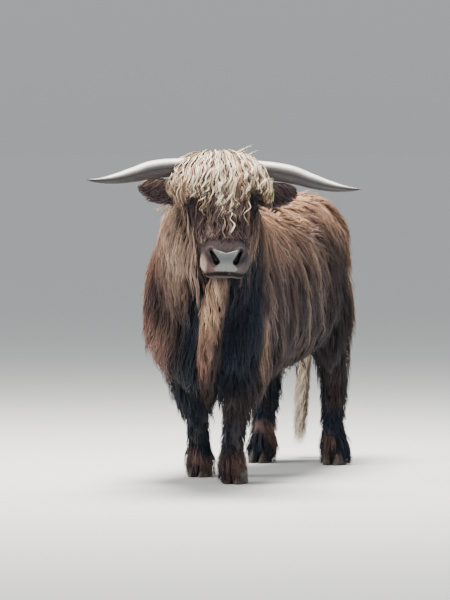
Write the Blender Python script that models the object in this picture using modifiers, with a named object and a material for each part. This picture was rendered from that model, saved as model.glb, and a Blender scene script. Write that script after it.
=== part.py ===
"""Highland cow, life size, standing on four feet with its head turned to its left.

Metres, +Z up. The cow faces -Y and its left side is +X. The solids are the outline of the
coat, out to the tips of the hair. The flesh is lofted in lengths, melted into one body and
parted again into head, neck, trunk and legs by thin cuts. Horns, eyes, ears, hooves, tail,
forelock, dewlap and ear tag are solids of their own.
"""

import math

import bmesh
import bpy
import numpy as np
from mathutils import Matrix, Vector

# Driving dimensions of the coat's outline.
HIP_HEIGHT = 1.17
FORE_STANCE = 0.130  # half the distance between the front feet
HIND_STANCE = 0.168
FORE_FEET_Y = -0.47  # halfway between the two front feet
HIND_FEET_Y = 0.47
FORE_STRIDE = 0.14  # the left front foot is this far ahead of that, the right one behind
HOOF_HEIGHT = 0.050
GAP = 0.0003  # between solids that meet

# The head: its axis runs from the poll down the face to the muzzle.
POLL = Vector((0.128, -0.800, 1.240))
HEAD_TURN = math.radians(28.0)  # to the cow's left
HEAD_PITCH = math.radians(46.0)  # of the face below the level
HEAD_ROLL = math.radians(-2.0)  # its left side is lower
HEAD_LENGTH = 0.500
HORN_REACH = 0.545  # from the middle of the poll to a horn's tip
HORN_RADIUS = 0.038
HORN_SHIFT = 0.006  # the left horn reaches this much further than the mean, the right one less
EYE_RADIUS = 0.021
EYE_PLACE = (0.128, 0.176, 0.030)  # on the head's left side

MELT_VOXEL = 0.009
FLESH_TRIANGLES = 3500


# ---------------------------------------------------------------- scene and materials


def clear_scene():
    for old in list(bpy.data.objects):
        bpy.data.objects.remove(old)


def collection(name, hidden=False):
    made = bpy.data.collections.new(name)
    bpy.context.scene.collection.children.link(made)
    made.hide_render = hidden
    return made


def material(name, colour, roughness):
    made = bpy.data.materials.new(name)
    made.use_nodes = True
    shader = made.node_tree.nodes["Principled BSDF"]
    shader.inputs["Base Color"].default_value = (*colour, 1.0)
    shader.inputs["Roughness"].default_value = roughness
    shader.inputs["Metallic"].default_value = 0.0
    return made


clear_scene()
COW = collection("highland_cow")
HELPERS = collection("cutters", hidden=True)
COAT = material("red_brown_coat", (0.20, 0.085, 0.035), 0.8)
PALE_HAIR = material("cream_forelock", (0.62, 0.45, 0.30), 0.75)
HORN = material("horn", (0.50, 0.46, 0.42), 0.45)
HOOF = material("hoof", (0.05, 0.04, 0.035), 0.5)
EYE = material("eye", (0.02, 0.012, 0.01), 0.1)
TAG = material("tag_plastic", (0.75, 0.72, 0.12), 0.4)


def put(obj, name, finish):
    """Names a finished solid and files it with the cow."""
    obj.name = name
    obj.data.name = name
    obj.data.materials.clear()
    obj.data.materials.append(finish)
    for old in list(obj.users_collection):
        old.objects.unlink(obj)
    COW.objects.link(obj)
    obj.hide_render = False
    obj.display_type = "TEXTURED"
    return obj


def helper(obj):
    """Files a cutter or a rough form, which is no part of the cow."""
    for old in list(obj.users_collection):
        old.objects.unlink(obj)
    HELPERS.objects.link(obj)
    obj.hide_render = True
    obj.display_type = "WIRE"
    return obj


# ---------------------------------------------------------------- shaping tools


def eased(stations, count):
    """Rows of numbers on a smooth curve through the stations' rows, evenly spread between them."""
    rows = np.array(stations, float)
    ends = np.vstack([2 * rows[0] - rows[1], rows, 2 * rows[-1] - rows[-2]])
    places = np.linspace(0, len(rows) - 1, count)
    first = np.minimum(places.astype(int), len(rows) - 2)
    t = (places - first)[:, None]
    a, b, c, d = (ends[first + k] for k in range(4))
    return 0.5 * (2 * b + (c - a) * t + (2 * a - 5 * b + 4 * c - d) * t**2 + (3 * b - a - 3 * c + d) * t**3)


def oval(half_width, above, below, squareness=2.0, sides=24):
    """A closed outline (across, up) of a rounded section that is unlike above and below."""
    angle = np.linspace(0, 2 * math.pi, sides, endpoint=False)
    across = np.sign(np.cos(angle)) * np.abs(np.cos(angle)) ** (2 / squareness)
    up = np.sign(np.sin(angle)) * np.abs(np.sin(angle)) ** (2 / squareness)
    return half_width * across, np.where(up > 0, above, below) * up


def mesh_object(name, points, faces):
    mesh = bpy.data.meshes.new(name)
    mesh.from_pydata([tuple(p) for p in points], [], faces)
    bm = bmesh.new()
    bm.from_mesh(mesh)
    bmesh.ops.recalc_face_normals(bm, faces=bm.faces)
    bmesh.ops.triangulate(bm, faces=bm.faces)
    bm.to_mesh(mesh)
    bm.free()
    obj = bpy.data.objects.new(name, mesh)
    return helper(obj)


def loft(name, rings):
    """A closed skin over rings of points, with a flat cap on the first and the last."""
    count, sides = rings.shape[:2]
    faces = [
        (r * sides + k, r * sides + (k + 1) % sides, (r + 1) * sides + (k + 1) % sides, (r + 1) * sides + k)
        for r in range(count - 1)
        for k in range(sides)
    ]
    faces.append(tuple(range(sides)))
    faces.append(tuple(range((count - 1) * sides, count * sides)))
    return mesh_object(name, rings.reshape(-1, 3), faces)


def loft_along(name, stations, rings, across, squareness=2.0, sides=24):
    """Lofts along stations (x, y, z, half width, above, below), each section square to the path."""
    rows = eased(stations, rings)
    path = rows[:, :3]
    ahead = np.gradient(path, axis=0)
    ahead /= np.linalg.norm(ahead, axis=1)[:, None]
    side = np.array(across, float) - ahead * (ahead @ np.array(across, float))[:, None]
    side /= np.linalg.norm(side, axis=1)[:, None]
    up = np.cross(side, ahead)
    made = []
    for k, row in enumerate(rows):
        u, v = oval(row[3], row[4], row[5], squareness, sides)
        made.append(path[k] + np.outer(u, side[k]) + np.outer(v, up[k]))
    return loft(name, np.array(made))


def sweep(name, places, radii, steps=5, roundness=2):
    """A smooth round rod through the places, thick as the radii say, as a mesh."""
    line = bpy.data.curves.new(name, "CURVE")
    line.dimensions = "3D"
    line.resolution_u = steps
    line.bevel_depth = 1.0
    line.bevel_resolution = roundness
    line.use_fill_caps = True
    spline = line.splines.new("BEZIER")
    spline.bezier_points.add(len(places) - 1)
    for point, place, radius in zip(spline.bezier_points, places, radii):
        point.co = place
        point.radius = radius
        point.handle_left_type = point.handle_right_type = "AUTO"
    curve = bpy.data.objects.new(name, line)
    HELPERS.objects.link(curve)
    bpy.context.view_layer.update()
    mesh = bpy.data.meshes.new_from_object(curve.evaluated_get(bpy.context.evaluated_depsgraph_get()))
    bm = bmesh.new()
    bm.from_mesh(mesh)
    bmesh.ops.remove_doubles(bm, verts=bm.verts, dist=0.00005)
    bmesh.ops.recalc_face_normals(bm, faces=bm.faces)
    bmesh.ops.triangulate(bm, faces=bm.faces)
    bm.to_mesh(mesh)
    bm.free()
    bpy.data.objects.remove(curve)
    return helper(bpy.data.objects.new(name, mesh))


def copy_of(obj):
    made = obj.copy()
    made.data = obj.data.copy()
    HELPERS.objects.link(made)
    return helper(made)


def grown(obj, by=GAP):
    """A copy with its surface moved out, so that what it cuts keeps a gap to the first."""
    made = copy_of(obj)
    bm = bmesh.new()
    bm.from_mesh(made.data)
    bm.normal_update()
    moves = [v.co + v.normal * by for v in bm.verts]
    for vert, place in zip(bm.verts, moves):
        vert.co = place
    bm.to_mesh(made.data)
    bm.free()
    return made


def applied(obj):
    """The object with its modifiers made real."""
    bpy.context.view_layer.update()
    mesh = bpy.data.meshes.new_from_object(obj.evaluated_get(bpy.context.evaluated_depsgraph_get()))
    obj.modifiers.clear()
    obj.data = mesh
    return obj


def boolean(obj, other, operation):
    step = obj.modifiers.new("boolean", "BOOLEAN")
    step.object = other
    step.operation = operation
    step.solver = "EXACT"
    return applied(obj)


def melted(parts, voxel, smooth_steps, triangles):
    """The parts run together into one smooth closed body with about that many triangles."""
    bm = bmesh.new()
    for part in parts:
        bm.from_mesh(part.data)
    mesh = bpy.data.meshes.new("melted")
    bm.to_mesh(mesh)
    bm.free()
    body = helper(bpy.data.objects.new("melted", mesh))
    remesh = body.modifiers.new("melt", "REMESH")
    remesh.mode = "VOXEL"
    remesh.voxel_size = voxel
    soften = body.modifiers.new("soften", "SMOOTH")
    soften.factor = 0.5
    soften.iterations = smooth_steps
    applied(body)
    thin = body.modifiers.new("thin", "DECIMATE")
    thin.ratio = triangles / (2 * len(body.data.polygons))
    return applied(body)


def block(place, ahead, across, size):
    """A box cutter centred at place, its length along ahead and its width along across."""
    y = Vector(ahead).normalized()
    x = (Vector(across) - y * y.dot(Vector(across))).normalized()
    z = x.cross(y)
    turn = Matrix((x, y, z)).transposed().to_4x4()
    bpy.ops.mesh.primitive_cube_add(size=1.0)
    made = bpy.context.object
    made.data.transform(Matrix.Translation(place) @ turn @ Matrix.Diagonal((*size, 1.0)))
    return helper(made)


def mirrored(rows):
    """The stations of the other side: the first number of each is its place across."""
    return [(-row[0], *row[1:]) for row in rows]


# ---------------------------------------------------------------- trunk, neck and legs

# Trunk sections from the brisket to the buttocks: y, top, bottom, half width.
TRUNK_SECTIONS = [
    (-0.745, 0.950, 0.560, 0.140),
    (-0.690, 1.030, 0.440, 0.248),
    (-0.580, 1.110, 0.375, 0.294),
    (-0.420, HIP_HEIGHT - 0.005, 0.365, 0.295),
    (-0.180, HIP_HEIGHT - 0.020, 0.395, 0.292),
    (0.080, HIP_HEIGHT - 0.032, 0.415, 0.292),
    (0.300, HIP_HEIGHT - 0.015, 0.450, 0.260),
    (0.470, HIP_HEIGHT + 0.005, 0.530, 0.224),
    (0.620, HIP_HEIGHT - 0.010, 0.620, 0.196),
    (0.730, HIP_HEIGHT - 0.065, 0.690, 0.155),
    (0.780, HIP_HEIGHT - 0.160, 0.790, 0.090),
]
WIDEST_SHARE = 0.47  # of a section's height, from its bottom


def trunk_form():
    stations = [
        (0.0, y, bottom + WIDEST_SHARE * (top - bottom), half, (1 - WIDEST_SHARE) * (top - bottom), WIDEST_SHARE * (top - bottom))
        for y, top, bottom, half in TRUNK_SECTIONS
    ]
    rows = eased(stations, 34)
    rings = []
    for x, y, z, half, above, below in rows:
        u, v = oval(half, above, below, squareness=2.25, sides=28)
        rings.append(np.stack([x + u, np.full_like(u, y), z + v], 1))
    return loft("trunk_form", np.array(rings))


def neck_form():
    """From inside the shoulders to behind the ears, bent to the cow's left."""
    stations = [
        (0.000, -0.300, 0.800, 0.250, 0.320, 0.330),
        (0.010, -0.480, 0.880, 0.262, 0.285, 0.370),
        (0.045, -0.640, 0.965, 0.245, 0.240, 0.350),
        (0.095, -0.760, 1.045, 0.212, 0.200, 0.280),
        (0.135, -0.850, 1.110, 0.165, 0.150, 0.200),
    ]
    return loft_along("neck_form", stations, 16, (-1, 0, 0))


def foreleg_form(side, stride):
    """side is 1 on the left; stride is how far the foot is ahead of the feet's middle line."""
    foot_y = FORE_FEET_Y - stride
    elbow_y = -0.445
    stations = [
        (0.150, -0.470, 0.820, 0.110, 0.130, 0.150),
        (0.156, elbow_y, 0.640, 0.120, 0.130, 0.140),
        (0.156, elbow_y + 0.12 * (foot_y - elbow_y), 0.520, 0.126, 0.118, 0.120),
        (0.148, elbow_y + 0.32 * (foot_y - elbow_y), 0.410, 0.110, 0.098, 0.100),
        (0.137, elbow_y + 0.55 * (foot_y - elbow_y), 0.315, 0.084, 0.076, 0.076),
        (0.128, elbow_y + 0.76 * (foot_y - elbow_y), 0.215, 0.060, 0.056, 0.062),
        (0.129, elbow_y + 0.92 * (foot_y - elbow_y), 0.125, 0.060, 0.060, 0.068),
        (FORE_STANCE, foot_y + 0.004, 0.060, 0.062, 0.062, 0.064),
        (FORE_STANCE, foot_y - 0.004, 0.020, 0.062, 0.064, 0.060),
    ]
    if side < 0:
        stations = mirrored(stations)
    return loft_along("foreleg_form", stations, 24, (1, 0, 0), sides=18)


def hindleg_form(side, hock_x):
    """side is 1 on the left; hock_x is how far out the hock stands."""
    stations = [
        (0.100, 0.500, 0.960, 0.105, 0.180, 0.170),
        (0.116, 0.505, 0.780, 0.110, 0.230, 0.190),
        (0.132, 0.495, 0.630, 0.110, 0.205, 0.185),
        (0.5 * (0.140 + hock_x), 0.515, 0.500, 0.095, 0.140, 0.135),
        (hock_x, 0.548, 0.400, 0.080, 0.090, 0.090),
        (hock_x, 0.555, 0.320, 0.069, 0.068, 0.072),
        (hock_x + 0.004, 0.530, 0.210, 0.058, 0.056, 0.062),
        (0.5 * (HIND_STANCE + hock_x), 0.500, 0.125, 0.060, 0.060, 0.068),
        (HIND_STANCE, HIND_FEET_Y + 0.010, 0.060, 0.062, 0.062, 0.064),
        (HIND_STANCE, HIND_FEET_Y, 0.020, 0.062, 0.064, 0.060),
    ]
    if side < 0:
        stations = mirrored(stations)
    return loft_along("hindleg_form", stations, 24, (1, 0, 0), sides=18)


# ---------------------------------------------------------------- head

# The head's own axes: to its left, down the face to the muzzle, and out of the forehead.
TURN = Matrix.Rotation(HEAD_TURN, 3, "Z")
ROLL = Matrix.Rotation(HEAD_ROLL, 3, TURN @ Vector((0.0, -1.0, 0.0)))
LEFT = ROLL @ TURN @ Vector((1.0, 0.0, 0.0))
ALONG = ROLL @ TURN @ Vector((0.0, -math.cos(HEAD_PITCH), -math.sin(HEAD_PITCH)))
OUT = ROLL @ TURN @ Vector((0.0, -math.sin(HEAD_PITCH), math.cos(HEAD_PITCH)))


def on_head(left, along, out):
    """The place that is so far to the head's left, down its face from the poll, and out of it."""
    return POLL + LEFT * float(left) + ALONG * float(along) + OUT * float(out)


# Head sections down the face: along, half width, forehead side, throat side.
HEAD_SECTIONS = [
    (-0.045, 0.080, 0.025, 0.040),
    (-0.010, 0.130, 0.055, 0.095),
    (0.060, 0.145, 0.068, 0.140),
    (0.130, 0.150, 0.072, 0.165),
    (0.200, 0.142, 0.066, 0.172),
    (0.270, 0.124, 0.058, 0.155),
    (0.345, 0.102, 0.052, 0.128),
    (0.405, 0.094, 0.050, 0.106),
    (0.450, 0.098, 0.049, 0.101),
    (0.485, 0.090, 0.036, 0.086),
    (HEAD_LENGTH, 0.066, 0.018, 0.058),
]


def head_form():
    rows = eased(HEAD_SECTIONS, 34)
    rings = []
    for along, half, above, below in rows:
        u, v = oval(half, above, below, squareness=2.3, sides=24)
        rings.append([on_head(a, along, b) for a, b in zip(u, v)])
    return loft("head_form", np.array(rings))


# ---------------------------------------------------------------- horns, ears, eyes, forelock

# A horn's middle line: how far out from the head's middle, forward and up of the poll, and its thickness
# as a share of HORN_RADIUS.
HORN_LINE = [
    (0.085, 0.000, 0.000, 1.00),
    (0.180, 0.006, 0.002, 1.02),
    (0.280, 0.028, -0.010, 0.99),
    (0.360, 0.062, -0.033, 0.80),
    (0.430, 0.098, -0.050, 0.57),
    (0.482, 0.124, -0.057, 0.35),
    (0.520, 0.140, -0.058, 0.19),
    (HORN_REACH, 0.148, -0.055, 0.06),
]
HORN_ROOT = (0.000, 0.030)  # along the face from the poll, and out of it
LEVEL_AHEAD = ROLL @ TURN @ Vector((0.0, -1.0, 0.0))
LEVEL_UP = LEVEL_AHEAD.cross(LEFT)


def horn(side):
    root = on_head(HORN_SHIFT, *HORN_ROOT)
    places = [root + LEFT * side * out + LEVEL_AHEAD * ahead + LEVEL_UP * up for out, ahead, up, _ in HORN_LINE]
    radii = [HORN_RADIUS * share for *_, share in HORN_LINE]
    return sweep("horn_form", places, radii, steps=3, roundness=2)


# The ear from its root to its tip: share of its length, half its width, thickness.
EAR_SECTIONS = [
    (0.00, 0.030, 0.022),
    (0.12, 0.040, 0.022),
    (0.35, 0.059, 0.018),
    (0.60, 0.062, 0.016),
    (0.82, 0.045, 0.014),
    (0.95, 0.023, 0.011),
    (1.00, 0.008, 0.007),
]
EAR_LENGTH = 0.205
EAR_CUP = 0.45  # depth of the ear's hollow as a share of half its width
EAR_ROOT = (0.118, 0.086, -0.022)  # on the head's left side


def ear(side):
    """A leaf cupped towards the front, which hangs out level from behind the horn."""
    root = on_head(side * EAR_ROOT[0], *EAR_ROOT[1:])
    outward = (side * LEFT - 0.10 * LEVEL_AHEAD + 0.10 * LEVEL_UP).normalized()
    upward = (LEVEL_UP + 0.10 * LEVEL_AHEAD - 0.10 * side * LEFT).normalized()
    facing = outward.cross(upward).normalized()
    if facing.dot(LEVEL_AHEAD) < 0:
        facing = -facing
    rings = []
    for share, half, thick in eased(EAR_SECTIONS, 9):
        middle = root + outward * float(share) * EAR_LENGTH
        ring = []
        for angle in np.linspace(0, 2 * math.pi, 12, endpoint=False):
            wide = math.cos(angle)
            cup = -EAR_CUP * half * (1 - wide * wide)
            ring.append(middle + upward * float(half * wide) + facing * float(cup + 0.5 * thick * math.sin(angle)))
        rings.append(ring)
    return loft("ear_form", np.array(rings))


def eye(side):
    bpy.ops.mesh.primitive_uv_sphere_add(segments=12, ring_count=8, radius=EYE_RADIUS)
    made = bpy.context.object
    made.data.transform(Matrix.Translation(on_head(side * EYE_PLACE[0], *EYE_PLACE[1:])))
    return helper(made)


def forelock_form():
    """The mass of long hair that falls from the poll over the forehead and horn roots."""
    sections = [
        (-0.085, 0.080, 0.042, 0.030),
        (-0.050, 0.150, 0.098, 0.040),
        (0.010, 0.195, 0.127, 0.060),
        (0.080, 0.212, 0.138, 0.060),
        (0.150, 0.208, 0.128, 0.045),
        (0.215, 0.170, 0.108, 0.030),
        (0.275, 0.120, 0.092, 0.020),
        (0.340, 0.078, 0.078, 0.010),
        (0.395, 0.036, 0.064, 0.000),
    ]
    rings = []
    for along, half, above, below in eased(sections, 14):
        u, v = oval(half, above, below, squareness=2.3, sides=16)
        rings.append([on_head(a, along, b) for a, b in zip(u, v)])
    return loft("forelock_form", np.array(rings))


# ---------------------------------------------------------------- dewlap, tail, hooves, tag


def dewlap_form():
    """The fold of skin with its beard of hair, from the throat to between the forelegs."""
    stations = [
        (0.206, -0.950, 0.900, 0.028, 0.058, 0.028),
        (0.180, -0.943, 0.820, 0.044, 0.090, 0.042),
        (0.140, -0.905, 0.720, 0.052, 0.100, 0.050),
        (0.110, -0.855, 0.610, 0.052, 0.100, 0.054),
        (0.082, -0.795, 0.490, 0.046, 0.090, 0.050),
        (0.062, -0.740, 0.400, 0.032, 0.060, 0.034),
        (0.052, -0.705, 0.342, 0.010, 0.018, 0.012),
    ]
    return loft_along("dewlap_form", stations, 13, (1, 0, 0), sides=12)


TAIL_LINE = [
    ((0.000, 0.690, 1.085), 0.046),
    ((0.000, 0.770, 1.045), 0.044),
    ((-0.006, 0.818, 0.930), 0.036),
    ((-0.024, 0.828, 0.760), 0.031),
    ((-0.050, 0.822, 0.580), 0.028),
    ((-0.072, 0.814, 0.460), 0.031),
    ((-0.088, 0.808, 0.330), 0.035),
    ((-0.097, 0.804, 0.200), 0.031),
    ((-0.100, 0.802, 0.110), 0.020),
    ((-0.101, 0.801, 0.045), 0.006),
]
SWITCH_TOP = 0.50  # height at which the tail's switch of long hair starts


def tail_form():
    places, radii = zip(*TAIL_LINE)
    return sweep("tail_form", places, radii, steps=3, roundness=1)


CLAW_HALF_WIDTH = 0.0235
CLAW_TOE = -0.064  # of the foot's middle, at the ground
CLAW_HEEL = 0.042
CLAW_SLOPE = 0.030  # how far back its front wall leans at the top
CLEFT_HALF_WIDTH = 0.0015  # between a foot's two claws, at their heels
CLEFT_SPREAD = 0.067  # how fast it opens towards the toes


def claw(foot, side):
    """One of a foot's two claws: flat beneath, its front wall sloping back to the hair."""
    rings = []
    for share in (0.0, 0.5, 1.0):
        front, rear = CLAW_TOE + CLAW_SLOPE * share, CLAW_HEEL - 0.1 * CLAW_SLOPE * share
        wide = CLAW_HALF_WIDTH * (1 - 0.12 * share)
        ring = []
        for angle in np.linspace(0, 2 * math.pi, 12, endpoint=False):
            lengthwise = math.copysign(abs(math.sin(angle)) ** 0.85, math.sin(angle))
            y = 0.5 * (front + rear) + 0.5 * (rear - front) * lengthwise
            inner = CLAW_HALF_WIDTH + CLEFT_HALF_WIDTH + CLEFT_SPREAD * min(y, 0.0)
            x = side * inner + wide * math.cos(angle)
            ring.append((foot[0] + x, foot[1] + y, share * (hoof_top(y) - GAP)))
        rings.append(ring)
    return loft("claw_form", np.array(rings))


def hoof_top(y):
    """Height of the hair's edge over a hoof, y behind the foot's middle: lower at the heel."""
    return HOOF_HEIGHT - 0.25 * y


TAG_PLACE = (0.206, 0.094, 0.012)  # of its stud on the head's left ear
TAG_SIZE = (0.003, 0.036, 0.048)  # thick, wide, high
STUD_SIZE = (0.0035, 0.060)  # radius and length
BUTTON_SIZE = (0.012, 0.003)  # radius and thickness, behind the ear


def ear_tag():
    """A plain plastic flag hanging edge-on before the left ear, on a stud through the ear's lower half."""
    stud = on_head(*TAG_PLACE)
    through = (LEVEL_AHEAD + 0.10 * LEFT).normalized()
    flat = (LEFT - through * LEFT.dot(through)).normalized()
    down = flat.cross(through)
    turn = Matrix((flat, through, down)).transposed().to_4x4()
    bpy.ops.mesh.primitive_cube_add(size=1.0)
    flag = bpy.context.object
    flag.data.transform(Matrix.Translation((0.0, 0.5 * TAG_SIZE[1], 0.012)) @ Matrix.Diagonal((*TAG_SIZE, 1.0)))
    bpy.ops.mesh.primitive_cylinder_add(vertices=12, radius=STUD_SIZE[0], depth=STUD_SIZE[1])
    pin = bpy.context.object
    pin.data.transform(Matrix.Translation((0.0, -0.020, 0.0)) @ Matrix.Rotation(math.pi / 2, 4, "X"))
    bpy.ops.mesh.primitive_cylinder_add(vertices=16, radius=BUTTON_SIZE[0], depth=BUTTON_SIZE[1])
    button = bpy.context.object
    button.data.transform(Matrix.Translation((0.0, -0.050, 0.0)) @ Matrix.Rotation(math.pi / 2, 4, "X"))
    tag = boolean(boolean(helper(flag), helper(pin), "UNION"), helper(button), "UNION")
    tag.data.transform(Matrix.Translation(stud) @ turn)
    return tag


# ---------------------------------------------------------------- the flesh, parted

FEET = {
    "foreleg_left": (FORE_STANCE, FORE_FEET_Y - FORE_STRIDE),
    "foreleg_right": (-FORE_STANCE, FORE_FEET_Y + FORE_STRIDE),
    "hindleg_left": (HIND_STANCE, HIND_FEET_Y),
    "hindleg_right": (-HIND_STANCE, HIND_FEET_Y),
}

def half_space(place, normal, slack):
    """A big block whose near face is slack ahead of the plane through place."""
    normal = Vector(normal).normalized()
    return block(Vector(place) + normal * (1.5 + slack), normal, (1, 0, 0), (3, 3, 3))


def split(obj, place, normal):
    """The parts of a solid ahead of a plane and behind it, with a gap between them."""
    ahead = boolean(copy_of(obj), half_space(place, normal, GAP / 2), "INTERSECT")
    return ahead, boolean(obj, half_space(place, normal, -GAP / 2), "DIFFERENCE")


def wedge(low, high):
    """A six-sided cutter from the four corners of its foot and of its top."""
    faces = [(3, 2, 1, 0), (4, 5, 6, 7), *((k, (k + 1) % 4, 4 + (k + 1) % 4, 4 + k) for k in range(4))]
    return mesh_object("wedge", [*low, *high], faces)


def leg_cutter(side, front, rear, groin, slope, lean):
    """Around one leg: from the groin its top rises outwards by slope and rearwards by lean."""
    near, far = 0.012 * side, 0.45 * side
    low = [(near, front, -0.1), (far, front, -0.1), (far, rear, -0.1), (near, rear, -0.1)]
    high = [(x, y, groin + slope * abs(x) + lean * (y - front)) for x, y, _ in low]
    return wedge(low, high)


def ground_cutter(foot):
    """What lies below a foot's hoof tops."""
    corners = [(-0.14, -0.14), (0.14, -0.14), (0.14, 0.14), (-0.14, 0.14)]
    low = [(foot[0] + x, foot[1] + y, -0.2) for x, y in corners]
    high = [(foot[0] + x, foot[1] + y, hoof_top(y)) for x, y in corners]
    return wedge(low, high)


flesh = melted(
    [
        trunk_form(),
        neck_form(),
        head_form(),
        foreleg_form(1, FORE_STRIDE),
        foreleg_form(-1, -FORE_STRIDE),
        hindleg_form(1, 0.134),
        hindleg_form(-1, 0.166),
    ],
    MELT_VOXEL,
    6,
    FLESH_TRIANGLES,
)
around_flesh = grown(flesh)

tag = put(ear_tag(), "ear_tag", TAG)
around_tag = grown(tag, 2 * GAP)
forelock = boolean(boolean(forelock_form(), around_flesh, "DIFFERENCE"), around_tag, "DIFFERENCE")
for side, name in ((1, "left"), (-1, "right")):
    horn_whole, ear_whole = horn(side), ear(side)
    around_horn, around_ear = grown(horn_whole), grown(ear_whole)
    put(boolean(horn_whole, around_flesh, "DIFFERENCE"), "horn_" + name, HORN)
    ear_cut = boolean(boolean(ear_whole, around_flesh, "DIFFERENCE"), around_horn, "DIFFERENCE")
    put(boolean(ear_cut, around_tag, "DIFFERENCE"), "ear_" + name, COAT)
    eyeball = put(eye(side), "eye_" + name, EYE)
    around_eye = grown(eyeball, 2 * GAP)
    flesh = boolean(flesh, around_eye, "DIFFERENCE")
    for other in (around_horn, around_ear, around_eye):
        forelock = boolean(forelock, other, "DIFFERENCE")
put(forelock, "forelock", PALE_HAIR)
put(boolean(dewlap_form(), around_flesh, "DIFFERENCE"), "dewlap", COAT)

tail = boolean(tail_form(), around_flesh, "DIFFERENCE")
dock, switch = split(tail, (0.0, 0.8, SWITCH_TOP), (0, 0, 1))
put(dock, "tail_dock", COAT)
put(switch, "tail_switch", PALE_HAIR)

head, body = split(flesh, (0.100, -0.780, 1.120), (0.30, -0.85, 0.43))
neck, trunk = split(body, (0.000, -0.600, 0.900), (0.05, -0.897, 0.441))
put(head, "head", COAT)
put(neck, "neck", COAT)

CUTS = {
    "foreleg_left": (1, -0.86, -0.24, 0.385, 0.80, 0.10),
    "foreleg_right": (-1, -0.86, -0.16, 0.385, 0.80, 0.10),
    "hindleg_left": (1, 0.310, 0.95, 0.560, 0.60, 0.30),
    "hindleg_right": (-1, 0.310, 0.95, 0.560, 0.60, 0.30),
}
for name, foot in FEET.items():
    cutter = leg_cutter(*CUTS[name])
    leg = boolean(copy_of(trunk), cutter, "INTERSECT")
    trunk = boolean(trunk, grown(cutter, 2 * GAP), "DIFFERENCE")
    put(boolean(leg, ground_cutter(foot), "DIFFERENCE"), name, COAT)
    for side, part in ((-1, "a"), (1, "b")):
        put(claw(foot, side), name.replace("leg", "_hoof") + "_" + part, HOOF)
put(trunk, "trunk", COAT)

# ---------------------------------------------------------------- the row's frame

corners = [obj.matrix_world @ vert.co for obj in COW.objects for vert in obj.data.vertices]
low = [min(place[axis] for place in corners) for axis in range(3)]
high = [max(place[axis] for place in corners) for axis in range(3)]
CENTRE_SHIFT = Vector((-0.5 * (low[0] + high[0]), -0.5 * (low[1] + high[1]), -low[2]))
for obj in COW.objects:
    obj.data.transform(Matrix.Translation(CENTRE_SHIFT))
print("moved by", tuple(CENTRE_SHIFT), "to put the origin under the middle of the cow")
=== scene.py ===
import math
from itertools import product

import bmesh
import bpy
import numpy as np
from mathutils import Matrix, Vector
from mathutils.bvhtree import BVHTree


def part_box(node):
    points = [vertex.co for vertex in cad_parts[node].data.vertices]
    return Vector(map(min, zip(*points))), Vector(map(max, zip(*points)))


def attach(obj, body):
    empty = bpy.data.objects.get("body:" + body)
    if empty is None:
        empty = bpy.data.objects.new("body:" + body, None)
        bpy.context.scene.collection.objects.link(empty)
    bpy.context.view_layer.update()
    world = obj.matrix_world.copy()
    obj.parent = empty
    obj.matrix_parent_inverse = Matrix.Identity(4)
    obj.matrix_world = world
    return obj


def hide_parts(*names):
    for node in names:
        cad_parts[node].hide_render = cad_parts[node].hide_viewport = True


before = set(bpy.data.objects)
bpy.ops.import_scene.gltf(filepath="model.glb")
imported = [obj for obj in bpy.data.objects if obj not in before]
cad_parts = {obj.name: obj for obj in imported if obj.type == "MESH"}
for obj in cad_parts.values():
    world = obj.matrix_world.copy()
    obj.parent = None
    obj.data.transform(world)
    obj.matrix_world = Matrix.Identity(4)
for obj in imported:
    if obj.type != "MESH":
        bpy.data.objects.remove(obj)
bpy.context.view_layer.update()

# ------------------------------------------------------------------ the hall
# A plain pale floor that runs on to a pale, even hall, large soft lamps, and a long lens that looks at
# the cow from in front and a little to its left.
midline = 0.5 * (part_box("hind_hoof_left_a")[0].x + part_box("hind_hoof_right_a")[1].x)
camera_place = Vector((6.352, -17.281, 1.45))
camera_turn, camera_tilt = math.radians(21.0), math.radians(-2.265)
camera = bpy.data.objects.new("camera", bpy.data.cameras.new("camera"))
bpy.context.collection.objects.link(camera)
camera.data.lens = 270.0
camera.data.sensor_width = 36.0
camera.data.clip_end = 200.0
camera.location = camera_place
camera.rotation_euler = (math.radians(90.0) + camera_tilt, 0.0, camera_turn)
bpy.context.scene.camera = camera


def cleared():
    """Nothing is selected or being edited."""
    if bpy.context.object and bpy.context.object.mode != "OBJECT":
        bpy.ops.object.mode_set(mode="OBJECT")
    bpy.ops.object.select_all(action="DESELECT")


def surface(name, colour, roughness, specular):
    """A material with one Principled shader, its node tree and that shader."""
    made = bpy.data.materials.new(name)
    made.use_nodes = True
    shader = made.node_tree.nodes["Principled BSDF"]
    shader.inputs["Base Color"].default_value = (*colour, 1.0)
    shader.inputs["Roughness"].default_value = roughness
    shader.inputs["Specular IOR Level"].default_value = specular
    return made, made.node_tree, shader


def put_node(tree, kind, **settings):
    """A new shader node with settings on the node or, by their names, on its sockets."""
    node = tree.nodes.new(kind)
    for name, value in settings.items():
        if name in node.inputs:
            node.inputs[name].default_value = value
        else:
            setattr(node, name, value)
    return node


def wire(source, outlet, target, inlet):
    """Joins an output of one shader node to an input of another in the same tree."""
    source.id_data.links.new(source.outputs[outlet], target.inputs[inlet])


cleared()
bpy.ops.mesh.primitive_plane_add(size=400.0, location=(0.0, 0.0, 0.0))
floor = bpy.context.object
floor.name = "floor"
floor_look, _, _ = surface("pale_floor", (0.80, 0.80, 0.78), 0.9, 0.1)
floor.data.materials.append(floor_look)

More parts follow.
